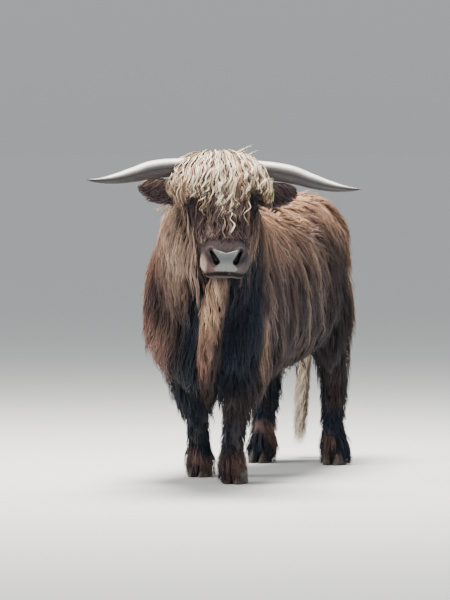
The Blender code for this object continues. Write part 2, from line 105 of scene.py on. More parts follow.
world = bpy.data.worlds.new("hall")
bpy.context.scene.world = world
world.use_nodes = True
hall_way = put_node(world.node_tree, "ShaderNodeTexCoord")
hall_height = put_node(world.node_tree, "ShaderNodeSeparateXYZ")
hall_ramp = put_node(world.node_tree, "ShaderNodeValToRGB")
hall_light = world.node_tree.nodes["Background"]
hall_ramp.color_ramp.elements[0].color = (0.732, 0.760, 0.770, 1.0)
hall_ramp.color_ramp.elements[1].color = (0.92, 0.96, 1.0, 1.0)
hall_ramp.color_ramp.elements[1].position = 0.30
hall_light.inputs["Strength"].default_value = 0.55
wire(hall_way, "Generated", hall_height, "Vector")
wire(hall_height, "Z", hall_ramp, "Fac")
wire(hall_ramp, "Color", hall_light, "Color")


def lamp(name, place, aim, size, power, colour):
    """A soft square lamp that points at the place aim."""
    made = bpy.data.objects.new(name, bpy.data.lights.new(name, "AREA"))
    bpy.context.collection.objects.link(made)
    made.data.size = size
    made.data.energy = power
    made.data.color = colour
    made.location = place
    made.rotation_euler = (Vector(aim) - Vector(place)).to_track_quat("-Z", "Y").to_euler()


lamp("overhead_lamp", (-0.4, 0.3, 5.0), (-0.1, -0.3, 0.9), 2.0, 900.0, (1.0, 0.97, 0.92))
lamp("front_lamp", (3.5, -7.5, 3.6), (0.0, -0.5, 0.9), 3.0, 40.0, (0.95, 0.97, 1.0))
lamp("side_lamp", (-5.0, -3.2, 3.4), (0.0, -0.2, 0.9), 2.5, 300.0, (1.0, 0.96, 0.90))

# ------------------------------------------------------------------ the hide
# One closed skin over the head, neck, trunk, legs, ears and tail, so that no seam shows. It is cast
# from the solids, joined, and drawn in by the depth of the coat that lies on it.
both_sides = ((1.0, "left"), (-1.0, "right"))
eye_corners = [corner for _, name in both_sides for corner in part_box(f"eye_{name}")]
eyes_middle = sum(eye_corners, Vector()) / len(eye_corners)
to_left = (sum(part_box("eye_left"), Vector()) - sum(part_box("eye_right"), Vector())).normalized()
head_ahead = to_left.cross(Vector((0.0, 0.0, 1.0))).normalized()
head_up = head_ahead.cross(to_left)
head_pitch = math.radians(46.0)
down_face = head_ahead * math.cos(head_pitch) - head_up * math.sin(head_pitch)
out_of_face = head_ahead * math.sin(head_pitch) + head_up * math.cos(head_pitch)
eye_along, eye_out = 0.176, 0.030
poll = eyes_middle - down_face * eye_along - out_of_face * eye_out
head_axes = np.array([to_left, down_face, out_of_face])
left_axis, face_axis, out_axis = head_axes
ahead_axis, up_axis = np.array(head_ahead), np.array(head_up)
join_distance = 0.0001


def on_head(left, along, out):
    """The place so far to the head's left, down its face from the poll, and out of the forehead."""
    return poll + to_left * left + down_face * along + out_of_face * out


def head_places(points):
    """Points in the head's own axes, as on_head takes them."""
    return (points - np.array(poll)) @ head_axes.T


def loose_copy(node, swell=0.0):
    """A node's mesh with its loose triangles joined up, as a new object."""
    made = bpy.data.objects.new(node + "_form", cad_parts[node].data.copy())
    bpy.context.collection.objects.link(made)
    shape = bmesh.new()
    shape.from_mesh(made.data)
    bmesh.ops.remove_doubles(shape, verts=shape.verts, dist=join_distance)
    shape.normal_update()
    for corner in shape.verts:
        corner.co += corner.normal * swell
    shape.to_mesh(made.data)
    shape.free()
    return made


def read(items, field, width=3, kind=np.float32):
    """One field of a mesh's points, edges or faces, as a row of numbers for each."""
    found = np.empty(len(items) * width, kind)
    items.foreach_get(field, found)
    return found.reshape(-1, width)


def coordinates(mesh):
    """The places of a mesh's points."""
    return read(mesh.vertices, "co").astype(float)


def point_normals(mesh):
    """The normals at a mesh's points."""
    return read(mesh.vertex_normals, "vector").astype(float)


def mesh_edges(mesh):
    """The pairs of points that a mesh's edges join."""
    return read(mesh.edges, "vertices", 2, np.int32)


def put_back(mesh, places):
    """Moves a mesh's points to new places."""
    mesh.vertices.foreach_set("co", places.astype(np.float32).ravel())
    mesh.update()


def relaxed(values, edges, times, share=0.5):
    """Values at a mesh's points, each drawn towards the mean of its neighbours."""
    ends = np.concatenate([edges, edges[:, ::-1]])
    count = np.maximum(np.bincount(ends[:, 0], minlength=len(values)), 1)
    values = values.astype(float)
    for _ in range(times):
        columns = values.reshape(len(values), -1).T
        means = [np.bincount(ends[:, 0], column[ends[:, 1]], len(values)) / count for column in columns]
        values = values + share * (np.stack(means, 1).reshape(values.shape) - values)
    return values


def step_up(values, low, high):
    """0 below low, 1 above high, and smooth between them."""
    share = np.clip((values - low) / (high - low), 0.0, 1.0)
    return share * share * (3.0 - 2.0 * share)


def ridge(values, middle, width):
    """1 where the values are at middle, falling to 0 on both sides of it over about twice the width."""
    return np.exp(-(((values - middle) / width) ** 2))


def pick_up(piece):
    """One piece alone is selected and active, ready for the next tool."""
    cleared()
    piece.select_set(True)
    bpy.context.view_layer.objects.active = piece


def use_modifier(piece, kind, **settings):
    """Adds a modifier to a piece and applies it."""
    pick_up(piece)
    modifier = piece.modifiers.new(kind.lower(), kind)
    for name, value in settings.items():
        setattr(modifier, name, value)
    bpy.ops.object.modifier_apply(modifier=modifier.name)


flesh = ["trunk", "neck", "head", "dewlap", "foreleg_left", "foreleg_right", "hindleg_left", "hindleg_right",
         "ear_left", "ear_right", "tail_dock"]
forms = [loose_copy(node, 0.0030 if "ear" in node else 0.0008) for node in flesh]
form_points, form_faces, form_owner = [], [], []
for number, form in enumerate(forms):
    start = len(form_points)
    form_points += [corner.co.copy() for corner in form.data.vertices]
    form_faces += [[start + corner for corner in face.vertices] for face in form.data.polygons]
    form_owner += [number] * len(form.data.polygons)
form_owner = np.array(form_owner)
flesh_tree = BVHTree.FromPolygons(form_points, form_faces)


def owners(points):
    """For each point, the number of the flesh node that it lies nearest to."""
    return form_owner[[flesh_tree.find_nearest(point)[2] for point in points]]


cleared()
for form in forms:
    form.select_set(True)
bpy.context.view_layer.objects.active = forms[0]
bpy.ops.object.join()
skin = bpy.context.object
skin.name = skin.data.name = "skin"
skin_voxel = 0.0065
use_modifier(skin, "REMESH", mode="VOXEL", voxel_size=skin_voxel)

coat_depths = {"trunk": 0.036, "neck": 0.038, "head": 0.013, "dewlap": 0.012, "foreleg": 0.022,
               "hindleg": 0.022, "ear": 0.003, "tail": 0.010}
eye_places = {name: 0.5 * sum(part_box(f"eye_{name}"), Vector()) for name in ("left", "right")}


def from_an_eye(points):
    """How far each point is from the middle of the nearer eye."""
    return np.min([np.linalg.norm(points - np.array(place), axis=1) for place in eye_places.values()], 0)


def coat_depth(points, owner):
    """How deep the coat lies over the skin at each point."""
    depth = np.array([coat_depths[node.split("_")[0]] for node in flesh])[owner]
    height = points[:, 2]
    leg = np.isin(owner, [flesh.index(node) for node in flesh if "leg" in node])
    leg_depth = 0.014 + 0.018 * step_up(height, 0.20, 0.50) - 0.004 * step_up(-height, -0.12, -0.04)
    depth = np.where(leg, leg_depth, depth)
    on_face = head_places(points)
    muzzle = (owner == flesh.index("head")) * step_up(on_face[:, 1], 0.28, 0.42)
    depth = depth * (1 - muzzle) + 0.0022 * muzzle
    thin_end = (owner == flesh.index("dewlap")) * step_up(-height, -0.46, -0.38)
    depth = depth * (1 - 0.6 * thin_end) * (1 - 0.9 * step_up(-from_an_eye(points), -0.055, -0.035))
    flank = (owner == flesh.index("trunk")) * step_up(-height, -0.62, -0.45)
    return depth + 0.012 * flank


skin_places = coordinates(skin.data)
skin_joins = mesh_edges(skin.data)
skin_depth = relaxed(coat_depth(skin_places, owners(skin_places)), skin_joins, 14)
draw_steps = 5
for _ in range(draw_steps):
    skin_places = skin_places - point_normals(skin.data) * skin_depth[:, None] / draw_steps
    skin_places = relaxed(skin_places, skin_joins, 1, 0.4)
    put_back(skin.data, skin_places)
use_modifier(skin, "REMESH", mode="VOXEL", voxel_size=skin_voxel)
put_back(skin.data, relaxed(coordinates(skin.data), mesh_edges(skin.data), 2, 0.5))


def choose_faces(piece, wanted):
    """Selects the faces whose middles wanted accepts, and leaves the piece in edit mode."""
    pick_up(piece)
    chosen = wanted(read(piece.data.polygons, "center").astype(float))
    bpy.ops.object.mode_set(mode="EDIT")
    bpy.ops.mesh.select_mode(type="FACE")
    bpy.ops.mesh.select_all(action="DESELECT")
    bpy.ops.object.mode_set(mode="OBJECT")
    piece.data.polygons.foreach_set("select", chosen)
    bpy.ops.object.mode_set(mode="EDIT")


def off_the_head(points):
    """True away from the face and the ears, where hair hides the skin."""
    spots = head_places(points)
    near_ear = (np.abs(spots[:, 0]) > 0.11) & (np.linalg.norm(spots - [0.0, 0.08, 0.0], axis=1) < 0.36)
    return ~((np.linalg.norm(spots - [0.0, 0.30, -0.03], axis=1) < 0.26) | near_ear)


choose_faces(skin, off_the_head)
bpy.ops.mesh.decimate(ratio=0.30)
for along, out in ((0.385, -0.12), (0.42, -0.06)):
    choose_faces(skin, lambda points: (head_places(points)[:, 1:] > [along, out]).all(1))
    bpy.ops.mesh.subdivide(number_cuts=1, smoothness=1.0)
for lid_reach in (0.050, 0.036):
    choose_faces(skin, lambda points: from_an_eye(points) < lid_reach)
    bpy.ops.mesh.subdivide(number_cuts=1, smoothness=1.0)
cleared()

# The muzzle: two nostrils whose slits run up and out, a bare pad between them, a mouth whose line is
# a cut at one level of the head, a full upper lip, and a narrower lower jaw.
nose_middle = on_head(0.0, 0.485, 0.032)


def mouth_level(spots):
    """How far out of the forehead the line of the mouth lies: level at the front, then along the jaw."""
    beside = np.clip(np.abs(spots[:, 0]) - 0.03, 0.0, 0.06)
    return -0.040 - 0.90 * np.clip(0.480 - spots[:, 1], 0.0, 0.045) - 0.15 * beside


nostril_top, nostril_foot = np.array([0.057, 0.027]), np.array([0.038, -0.008])


def nostril_gap(spots, rise):
    """Distance to a nostril's edge in the plane of the muzzle: less than 0 inside it."""
    place = np.stack([np.abs(spots[:, 0]), rise], 1)
    run = nostril_foot - nostril_top
    share = np.clip(((place - nostril_top) @ run) / (run @ run), 0.0, 1.0)
    return np.linalg.norm(place - nostril_top - share[:, None] * run, axis=1) - (0.0065 + 0.0050 * share)


def pad_gap(spots, rise):
    """How far inside the edge of the bare nose pad a place lies: waisted between the nostrils."""
    half = np.interp(rise, [-0.046, -0.036, -0.008, 0.020, 0.036, 0.044],
                     [0.040, 0.047, 0.031, 0.042, 0.053, 0.053])
    across = half - np.abs(spots[:, 0])
    over = 0.026 + 0.30 * np.abs(spots[:, 0]) - rise
    return np.minimum(np.minimum(across, over), rise + 0.046)


def facing_ahead(points):
    """1 on the front of the muzzle, 0 behind it."""
    return step_up(head_places(points)[:, 1], 0.40, 0.43)


jaw_narrowing, jaw_shortening = 0.13, 0.005
wing_height, pad_height, cleft_depth, flews_out = 0.0055, 0.0015, 0.0025, 0.0025
bore_depth, bore_rise = 0.026, 0.006
mouth_depth, upper_lip_height, lower_lip_height = 0.014, 0.0030, 0.0065
places, outward = coordinates(skin.data), point_normals(skin.data)
spots = head_places(places)
rise = (places - np.array(nose_middle)) @ up_axis
over_mouth = spots[:, 2] - mouth_level(spots)
front = facing_ahead(places) * (over_mouth > 0)
jaw = step_up(spots[:, 1], 0.33, 0.42) * step_up(-over_mouth, -0.004, 0.012)
places -= left_axis * (jaw_narrowing * spots[:, 0] * jaw)[:, None]
places -= face_axis * (jaw_shortening * jaw * step_up(spots[:, 1], 0.42, 0.49))[:, None]
gap = nostril_gap(spots, rise)
wing = ridge(gap, 0.009, 0.007) * (np.abs(spots[:, 0]) > 0.035) * front
places += outward * (wing_height * wing)[:, None]
pad = step_up(pad_gap(spots, rise), -0.001, 0.004) * front
places += outward * (pad_height * pad)[:, None]
bore = step_up(-gap, -0.0015, 0.006) * front
places += (up_axis * bore_rise - ahead_axis * bore_depth) * bore[:, None]
cleft = ridge(spots[:, 0], 0.0, 0.004) * front * step_up(-rise, 0.0, 0.03)
places -= outward * (cleft_depth * cleft)[:, None]
flews = step_up(spots[:, 1], 0.41, 0.46) * ridge(spots[:, 2], -0.012, 0.024) * np.tanh(spots[:, 0] / 0.02)
places += left_axis * (flews_out * flews)[:, None]
corner = np.exp(-(((np.abs(spots[:, 0]) - 0.066) / 0.020) ** 2) - ((spots[:, 2] + 0.048) / 0.030) ** 2)
corner = corner * step_up(spots[:, 1], 0.41, 0.46)
places += (face_axis * 0.012 + left_axis * 0.007 * np.sign(spots[:, :1])) * corner[:, None]
lips = step_up(spots[:, 1], 0.385, 0.43)
line = ridge(over_mouth, 0.0, 0.0040) * lips
upper_lip = ridge(over_mouth, 0.011, 0.007) * lips
lower_lip = ridge(over_mouth, -0.012, 0.008) * lips
lip_height = -mouth_depth * line + upper_lip_height * upper_lip + lower_lip_height * lower_lip
places += outward * lip_height[:, None]

# The eyelids: the skin is brought to lie on each eyeball, and opens in an almond over it, with a rim
# along the opening and a fold above it.
eye_radius = 0.5 * (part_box("eye_left")[1].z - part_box("eye_left")[0].z)
lid_half_length, lid_half_height = 0.0195, 0.0122


def eye_axes(side):
    """Where an eye looks, the run of its slit from the front corner, and its upward direction."""
    look = (to_left * side + head_ahead * 0.45 + out_of_face * 0.10).normalized()
    slit = down_face * 0.95 - out_of_face * 0.25
    slit = (slit - look * slit.dot(look)).normalized()
    upward = look.cross(slit)
    return look, slit, upward if upward.z > 0 else -upward


skin_joins = mesh_edges(skin.data)
lid_open = np.zeros(len(places))
lid_edge = np.zeros(len(places))
for side, name in both_sides:
    place = np.array(eye_places[name])
    look, slit, lid_up = (np.array(axis) for axis in eye_axes(side))
    from_eye = places - place
    height = from_eye @ look
    from_axis = np.linalg.norm(from_eye - height[:, None] * look, axis=1)
    lid_height = np.interp(from_axis, [0.0, 0.010, 0.018, 0.024, 0.032, 0.046, 0.060],
                           [0.025, 0.022, 0.016, 0.009, 0.000, -0.012, -0.040])
    over_eye = (height > -0.055) & (from_axis < 0.060)
    lift = np.where(over_eye, np.maximum(lid_height - height, 0.0), 0.0)
    places += look * relaxed(lift, skin_joins, 3, 0.5)[:, None]
    from_eye = places - place
    reach = np.linalg.norm(from_eye, axis=1)
    along_slit, up_lid = from_eye @ slit, from_eye @ lid_up
    almond = np.abs(up_lid) / lid_half_height + (along_slit / lid_half_length) ** 2 - 1.0
    ahead_of_eye = step_up(from_eye @ look, -0.010, 0.002)
    hugging = step_up(-reach, -0.034, -0.025) * ahead_of_eye
    radius = np.where(almond < 0.0, eye_radius - 0.005, eye_radius + 0.0030)
    radius = radius + 0.0016 * ridge(almond, 0.22, 0.22)
    aim = place + from_eye / np.maximum(reach, 1e-6)[:, None] * radius[:, None]
    places += (aim - places) * hugging[:, None]
    round_lids = step_up(-reach, -0.036, -0.026)
    fold = ridge(up_lid - 0.019 + 8.0 * along_slit ** 2, 0.0, 0.0022) * round_lids
    bag = ridge(up_lid + 0.018 - 8.0 * along_slit ** 2, 0.0, 0.0022) * round_lids
    brow = ridge(reach, 0.036, 0.010) * step_up(up_lid, 0.010, 0.026)
    places += outward * (0.0060 * brow - 0.0022 * (fold + 0.6 * bag) * ahead_of_eye)[:, None]
    lid_open = np.maximum(lid_open, hugging * step_up(-almond, -0.1, 0.15))
    lid_edge = np.maximum(lid_edge, hugging * ridge(almond, 0.15, 0.28))

# The ears: each is a leaf that cups forwards, with its rim left standing round the hollow.
ear_hollow = 0.017
skin_owner = owners(places)
for side, name in both_sides:
    on_ear = skin_owner == flesh.index(f"ear_{name}")
    leaf = (places[on_ear] - np.array(poll)) @ np.array([to_left * side, head_ahead, head_up]).T
    run = np.clip((leaf[:, 0] - leaf[:, 0].min()) / np.ptp(leaf[:, 0]), 0.0, 1.0)
    stations = np.linspace(0.0, 1.0, 9)
    nearby = [leaf[np.abs(run - station) < 0.08, 2] for station in stations]
    middle = np.interp(run, stations, [0.5 * (high.max() + high.min()) for high in nearby])
    half = np.interp(run, stations, [0.5 * np.ptp(high) for high in nearby])
    across_leaf = np.clip(np.abs(leaf[:, 2] - middle) / half, 0, 1)
    hollow = (1 - across_leaf ** 2) * np.sin(math.pi * np.clip(run, 0.05, 0.97)) ** 0.6
    places[on_ear] -= ahead_axis * (ear_hollow * hollow)[:, None]
put_back(skin.data, places)
put_back(skin.data, relaxed(coordinates(skin.data), mesh_edges(skin.data), 1, 0.3))
pick_up(skin)
bpy.ops.object.mode_set(mode="EDIT")
bpy.ops.mesh.select_all(action="SELECT")
bpy.ops.uv.smart_project(angle_limit=math.radians(66.0), island_margin=0.001)
bpy.ops.object.mode_set(mode="OBJECT")
bpy.ops.object.shade_smooth()
skin.data.uv_layers.active.name = "OFBake"
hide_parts(*flesh)
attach(skin, "root")


def linear(red, green, blue):
    """A colour as a screen shows it, from 0 to 255, as the light that a surface returns."""
    return np.array([((value / 255.0 + 0.055) / 1.055) ** 2.4 for value in (red, green, blue)])


def mix(first, second, share):
    """First where share is 0, second where it is 1."""
    return first + (second - first) * np.clip(share, 0.0, 1.0)[:, None]


# Blue black: partly the coat's own near-black hair and partly painted shade, its blue the painted cast of
# shade under the sky.
shaded_blue_black = linear(25, 34, 47)
dark = linear(58, 48, 49)
brown = linear(98, 77, 68)
tan = linear(172, 132, 106)
gold = linear(204, 164, 132)
cream = linear(238, 220, 196)
pad_grey = linear(108, 109, 111)
lip_grey = linear(62, 58, 58)
recess_shade_and_lid_dark = linear(24, 21, 23)
face_middle = [0.0, 0.24, -0.03]


def swell(points, size, seed, count=7):
    """A smooth random number from about -1 to 1 at each point, which changes over the given size."""
    dice = np.random.default_rng(seed)
    total = np.zeros(len(points))
    for _ in range(count):
        wave = dice.normal(size=3)
        wave *= 2 * math.pi / size * dice.uniform(0.6, 1.5) / np.linalg.norm(wave)
        total += np.sin(points @ wave + dice.uniform(0, 2 * math.pi))
    return total / math.sqrt(count)


def markings(points):
    """The colour of the cow's hair at each point of the skin, the same for hide and coat: its own colours,
    with painted light and shade mixed in.
    """
    across, behind, height = (points - [midline, 0.0, 0.0]).T
    spots = head_places(points)
    left = spots[:, 0]
    patchy = swell(points, 0.30, 5) * 0.05
    # Darker low and paler high: partly the coat's own colour and partly painted top light.
    colour = mix(dark, brown, step_up(height + patchy, 0.60, 0.86))
    colour = mix(colour, tan, step_up(height + patchy, 0.96, 1.13))

    # The left flank: fair strands over slate brown, lighter along its top, partly by painted top light, and a
    # thigh darkened by painted shade.
    strands = step_up(swell(points * [1.0, 1.0, 0.10] + [0.0, 0.30, 0.0] * points[:, 2:], 0.075, 6), 0.1, 1.2)
    flank = step_up(across, 0.10, 0.24) * step_up(height, 0.40, 0.60) * (1 - step_up(behind, 0.22, 0.36))
    colour = mix(colour, linear(72, 64, 68), 0.62 * flank * step_up(-height, -0.96, -0.80))
    colour = mix(colour, linear(150, 128, 112), 0.62 * flank * strands)
    along_top = step_up(height, 0.80, 0.92) * step_up(-height, -1.11, -1.05) * step_up(-behind, -0.30, -0.10)
    side_tone = mix(np.array([0.92, 0.96, 1.02]), np.array([1.46, 1.50, 1.50]), along_top)
    side_tone = side_tone * (1 - 0.30 * step_up(height, 1.05, 1.11))[:, None]
    colour = colour * mix(np.ones(3), side_tone, step_up(across, 0.05, 0.16))
    shaded_thigh = step_up(behind, 0.26, 0.42) * step_up(-height, -1.04, -0.90) * step_up(across, -0.10, 0.0)
    colour = mix(colour, linear(46, 43, 47), 0.80 * shaded_thigh)
    rump = step_up(behind, 0.68, 0.76) * step_up(height, 0.20, 0.40)
    colour = mix(colour, linear(124, 98, 82), 0.7 * rump)

    # The right side: red brown, with fair and dark falls down the neck, gold where the sun is, and painted
    # shade in a wedge between two masses of hair.
    fore_half = step_up(-behind, -0.05, 0.12)
    far_side = step_up(-across, 0.12, 0.26) * step_up(height, 0.36, 0.52)
    colour = mix(colour, linear(158, 112, 90), 0.65 * far_side * (1 - 0.6 * step_up(height, 1.0, 1.15)))
    # The fair fall at the neck's outer edge is painted rim light, and the dark fall beside it painted shade.
    falls_and_rim_light = np.interp(left, [-0.31, -0.265, -0.235, -0.215, -0.19, -0.17, -0.15, -0.12, -0.09],
                       [1.0, 0.85, 0.15, 0.0, 0.15, 0.80, 0.70, 0.45, 0.40])
    falls_and_rim_light = np.maximum(falls_and_rim_light, 0.65 * step_up(height, 0.92, 1.00))
    neck_side = step_up(-left, 0.08, 0.11) * fore_half * step_up(height, 0.66, 0.84)
    colour = mix(colour, mix(linear(64, 44, 48), linear(212, 166, 138), falls_and_rim_light), 0.8 * neck_side)
    low_side = step_up(-left, 0.12, 0.18) * fore_half * step_up(0.66 - height, 0.0, 0.08)
    colour = mix(colour, linear(142, 110, 101), 0.8 * low_side * step_up(height, 0.30, 0.40))
    shade_wedge = step_up(-left, 0.13, 0.17) * step_up(height, 0.64, 0.70) * step_up(-height, -0.82, -0.76)
    colour = mix(colour, linear(46, 44, 52), 0.65 * shade_wedge * fore_half)
    sunlit_side = step_up(-left, 0.19, 0.27) * step_up(height, 0.80, 0.88) * step_up(-height, -1.14, -1.06)
    colour = mix(colour, linear(216, 152, 114), 0.50 * sunlit_side)

    # The chest: blue black between the forelegs, partly its own dark hair and partly painted shade, with a
    # fair edge on the left shoulder, and pale cheeks, partly their own fair hair and partly painted sunlight.
    beside = across - np.interp(behind, [-0.6, -0.2], [poll.x - midline, 0.0])
    chest_top = 0.88 + 0.14 * step_up(beside, -0.04, 0.06)
    chest = step_up(-behind, 0.06, 0.22) * step_up(chest_top - height, -0.04, 0.10)
    chest = chest * step_up(beside, -0.26, -0.16) * (1 - step_up(left, 0.185, 0.220)) * (1 - 0.8 * low_side)
    colour = mix(colour, shaded_blue_black, (0.94 - 0.46 * step_up(-left, 0.08, 0.12)) * chest)
    shoulder_edge = ridge(left, 0.235, 0.014) * step_up(-behind, 0.0, 0.15)
    shoulder_edge = shoulder_edge * step_up(height, 0.38, 0.44) * step_up(0.70 - height, 0.0, 0.08)
    colour = mix(colour, linear(170, 142, 120), 0.7 * shoulder_edge)
    pale_cheek_and_sunlight = step_up(-np.abs(left + 0.145), -0.055, -0.020) * step_up(-behind, 0.42, 0.52)
    colour = mix(colour, linear(246, 210, 182), 0.92 * pale_cheek_and_sunlight * step_up(height, 0.82, 0.96))

    # The legs: nearly black, partly their own dark hair and partly painted shade, brown at the fetlocks, and
    # tan on the feather behind the hind ones.
    leg_tone = mix(shaded_blue_black, dark, step_up(across * 4 + swell(points, 0.2, 7), 0.0, 1.5))
    colour = mix(colour, leg_tone, step_up(-height, -0.46, -0.34))
    fetlock = step_up(-height, -0.20, -0.12) * step_up(swell(points, 0.16, 8), -0.6, 0.9)
    colour = mix(colour, linear(138, 106, 94), 0.75 * fetlock)
    feather = step_up(behind, 0.42, 0.52) * step_up(-height, -0.42, -0.28) * step_up(height, 0.03, 0.07)
    colour = mix(colour, linear(206, 160, 124), 0.75 * feather * step_up(-left, -0.210, -0.165))

    # Streaks down the whole coat but the head, with gold among them where the back catches the sun.
    streak = swell(points * [1.0, 1.0, 0.16] + [0.0, 0.25, 0.0] * points[:, 2:], 0.085, 9)
    off_head = step_up(np.linalg.norm(spots - face_middle, axis=1), 0.25, 0.32)
    sunny = step_up(height, 0.92, 1.10)
    gilded = step_up(swell(points * [1.0, 0.45, 1.0], 0.10, 10), 0.1, 1.3)
    colour = mix(colour, gold, 0.55 * sunny * gilded * off_head)
    colour = colour * np.exp((0.24 + 0.28 * sunny) * streak * off_head)[:, None]

    # The face: dark mauve brown, darkened on its left by painted shade, its muzzle paler to the right by
    # painted light and brightest along the right wing's outer rim as a painted highlight, darker above the
    # pad, partly its own dark hair and partly the forelock's painted shadow, and a cream crown.
    face = step_up(-np.linalg.norm((spots - face_middle) * [1.1, 0.8, 1.0], axis=1), -0.25, -0.18)
    near_muzzle = step_up(spots[:, 1] - 0.4 * spots[:, 2], 0.42, 0.50)
    wing = mix(linear(94, 76, 71), linear(138, 108, 96), step_up(-left, 0.030, 0.050))
    wing = mix(wing, linear(250, 214, 190), step_up(-left, 0.070, 0.082))
    wing = mix(wing, linear(116, 106, 102), step_up(left, 0.0, 0.05))
    wing = mix(wing, linear(52, 42, 39), step_up(spots[:, 2], 0.010, 0.034))
    upper_face = mix(dark, shaded_blue_black, 0.55 * step_up(left, 0.03, 0.11))
    colour = mix(colour, mix(upper_face, wing, near_muzzle), face)
    crown = step_up(-spots[:, 1], -0.19, -0.06) * step_up(spots[:, 2], -0.03, 0.03) * face
    return mix(colour, cream, 0.6 * crown)


def paint(mesh, name, colours):
    """Gives each point of a mesh its colour, under the name that its material reads."""
    opaque = np.concatenate([colours, np.ones((len(colours), 1))], 1)
    layer = mesh.color_attributes.new(name, "FLOAT_COLOR", "POINT")
    layer.data.foreach_set("color", opaque.astype(np.float32).ravel())


def mark(mesh, name, values):
    """Gives each point of a mesh a number or a place, under the name that its material reads."""
    kind, field = ("FLOAT", "value") if values.ndim == 1 else ("FLOAT_VECTOR", "vector")
    mesh.attributes.new(name, kind, "POINT").data.foreach_set(field, values.astype(np.float32).ravel())


places, outward = coordinates(skin.data), point_normals(skin.data)
spots = head_places(places)
rise = (places - np.array(nose_middle)) @ up_axis
over_mouth = spots[:, 2] - mouth_level(spots)
front = facing_ahead(places) * (spots[:, 2] > mouth_level(spots) + 0.004)
gap = nostril_gap(spots, rise)
pad = step_up(pad_gap(spots, rise), -0.002, 0.003) * front * step_up(gap, 0.0005, 0.003)
inside = step_up(-gap, -0.001, 0.003) * facing_ahead(places)
mouth = np.exp(-(((over_mouth - 0.007) / 0.0140) ** 4)) * step_up(spots[:, 1], 0.395, 0.43)
lip = ridge(over_mouth, -0.012, 0.007) * step_up(spots[:, 1], 0.43, 0.47)
lids = np.maximum(lid_open, lid_edge)
hide_colour = markings(places)
skin_owner = owners(places)
skin_joins = mesh_edges(skin.data)
on_dewlap = relaxed(skin_owner == flesh.index("dewlap"), skin_joins, 12)
in_ear = relaxed(np.isin(skin_owner, [flesh.index("ear_left"), flesh.index("ear_right")]), skin_joins, 4)
# Painted shade: the dewlap's hide darker brown right under the jaw.
shade_under_jaw = step_up(places[:, 2], 0.80, 0.88)
hide_colour = mix(hide_colour, mix(tan, linear(84, 69, 63), shade_under_jaw),
                   (0.96 - 0.16 * shade_under_jaw) * step_up(on_dewlap, 0.1, 0.6))
hide_colour = mix(hide_colour, linear(54, 46, 49), 0.9 * in_ear)
hide_colour = mix(hide_colour, lip_grey, 0.9 * lip)
hide_colour = mix(hide_colour, pad_grey, pad)
# Painted shade: a dark grey chin below the lower lip.
chin = step_up(-over_mouth, 0.016, 0.03) * step_up(spots[:, 1], 0.34, 0.40)
hide_colour = mix(hide_colour, linear(66, 62, 64), 0.8 * chin)
# Near black: painted shade in the mouth's crease and inside the nostrils, and the lids' own dark rims.
hide_colour = mix(hide_colour, recess_shade_and_lid_dark, np.maximum(np.maximum(inside, mouth), lids))
paint(skin.data, "coat", hide_colour)
bare = np.maximum(np.maximum(pad, 0.6 * lip) * (1 - mouth), np.maximum(inside, 0.4 * lids))
mark(skin.data, "bare", bare)
on_face = step_up(-np.linalg.norm(spots - [0.0, 0.22, -0.03], axis=1), -0.34, -0.26)
mark(skin.data, "grain", mix(places * [1.0, 1.0, 0.16], spots * [1.0, 0.16, 0.8], on_face))


def effect(name, inlets, outlets):
    """An empty shader node group with its named inputs and outputs, and the nodes that carry them."""
    group = bpy.data.node_groups.new(name, "ShaderNodeTree")
    for way, sockets in (("INPUT", inlets), ("OUTPUT", outlets)):
        for socket, kind in sockets.items():
            group.interface.new_socket(name=socket, in_out=way, socket_type=f"NodeSocket{kind}")
    return group, group.nodes.new("NodeGroupInput"), group.nodes.new("NodeGroupOutput")


def add_bump(source, outlet, shader, strength, distance):
    """Raises a surface by one output of a shader node."""
    bump = put_node(source.id_data, "ShaderNodeBump", Strength=strength, Distance=distance)
    wire(source, outlet, bump, "Height")
    wire(bump, "Normal", shader, "Normal")


def dress(piece, look):
    """Gives a piece one material and no other."""
    piece.data.materials.clear()
    piece.data.materials.append(look)


# Streaks: fine noise makes a colour darker and lighter, as single hairs, fibres and grain do.
streaks, streaks_in, streaks_out = effect(
    "streaks",
    {"Colour": "Color", "Vector": "Vector", "Scale": "Float", "Detail": "Float", "Distortion": "Float",
     "Darkest": "Float", "Lightest": "Float"},
    {"Colour": "Color", "Height": "Float"})
streak_noise = put_node(streaks, "ShaderNodeTexNoise")
streak_tone = put_node(streaks, "ShaderNodeMapRange")
streak_tone.inputs["From Min"].default_value = 0.3
streak_tone.inputs["From Max"].default_value = 0.7
streaked = put_node(streaks, "ShaderNodeVectorMath", operation="SCALE")
for inlet in ("Vector", "Scale", "Detail", "Distortion"):
    wire(streaks_in, inlet, streak_noise, inlet)
wire(streaks_in, "Darkest", streak_tone, "To Min")
wire(streaks_in, "Lightest", streak_tone, "To Max")
wire(streak_noise, "Fac", streak_tone, "Value")
wire(streaks_in, "Colour", streaked, 0)
wire(streak_tone, "Result", streaked, "Scale")
wire(streaked, "Vector", streaks_out, "Colour")
wire(streak_noise, "Fac", streaks_out, "Height")

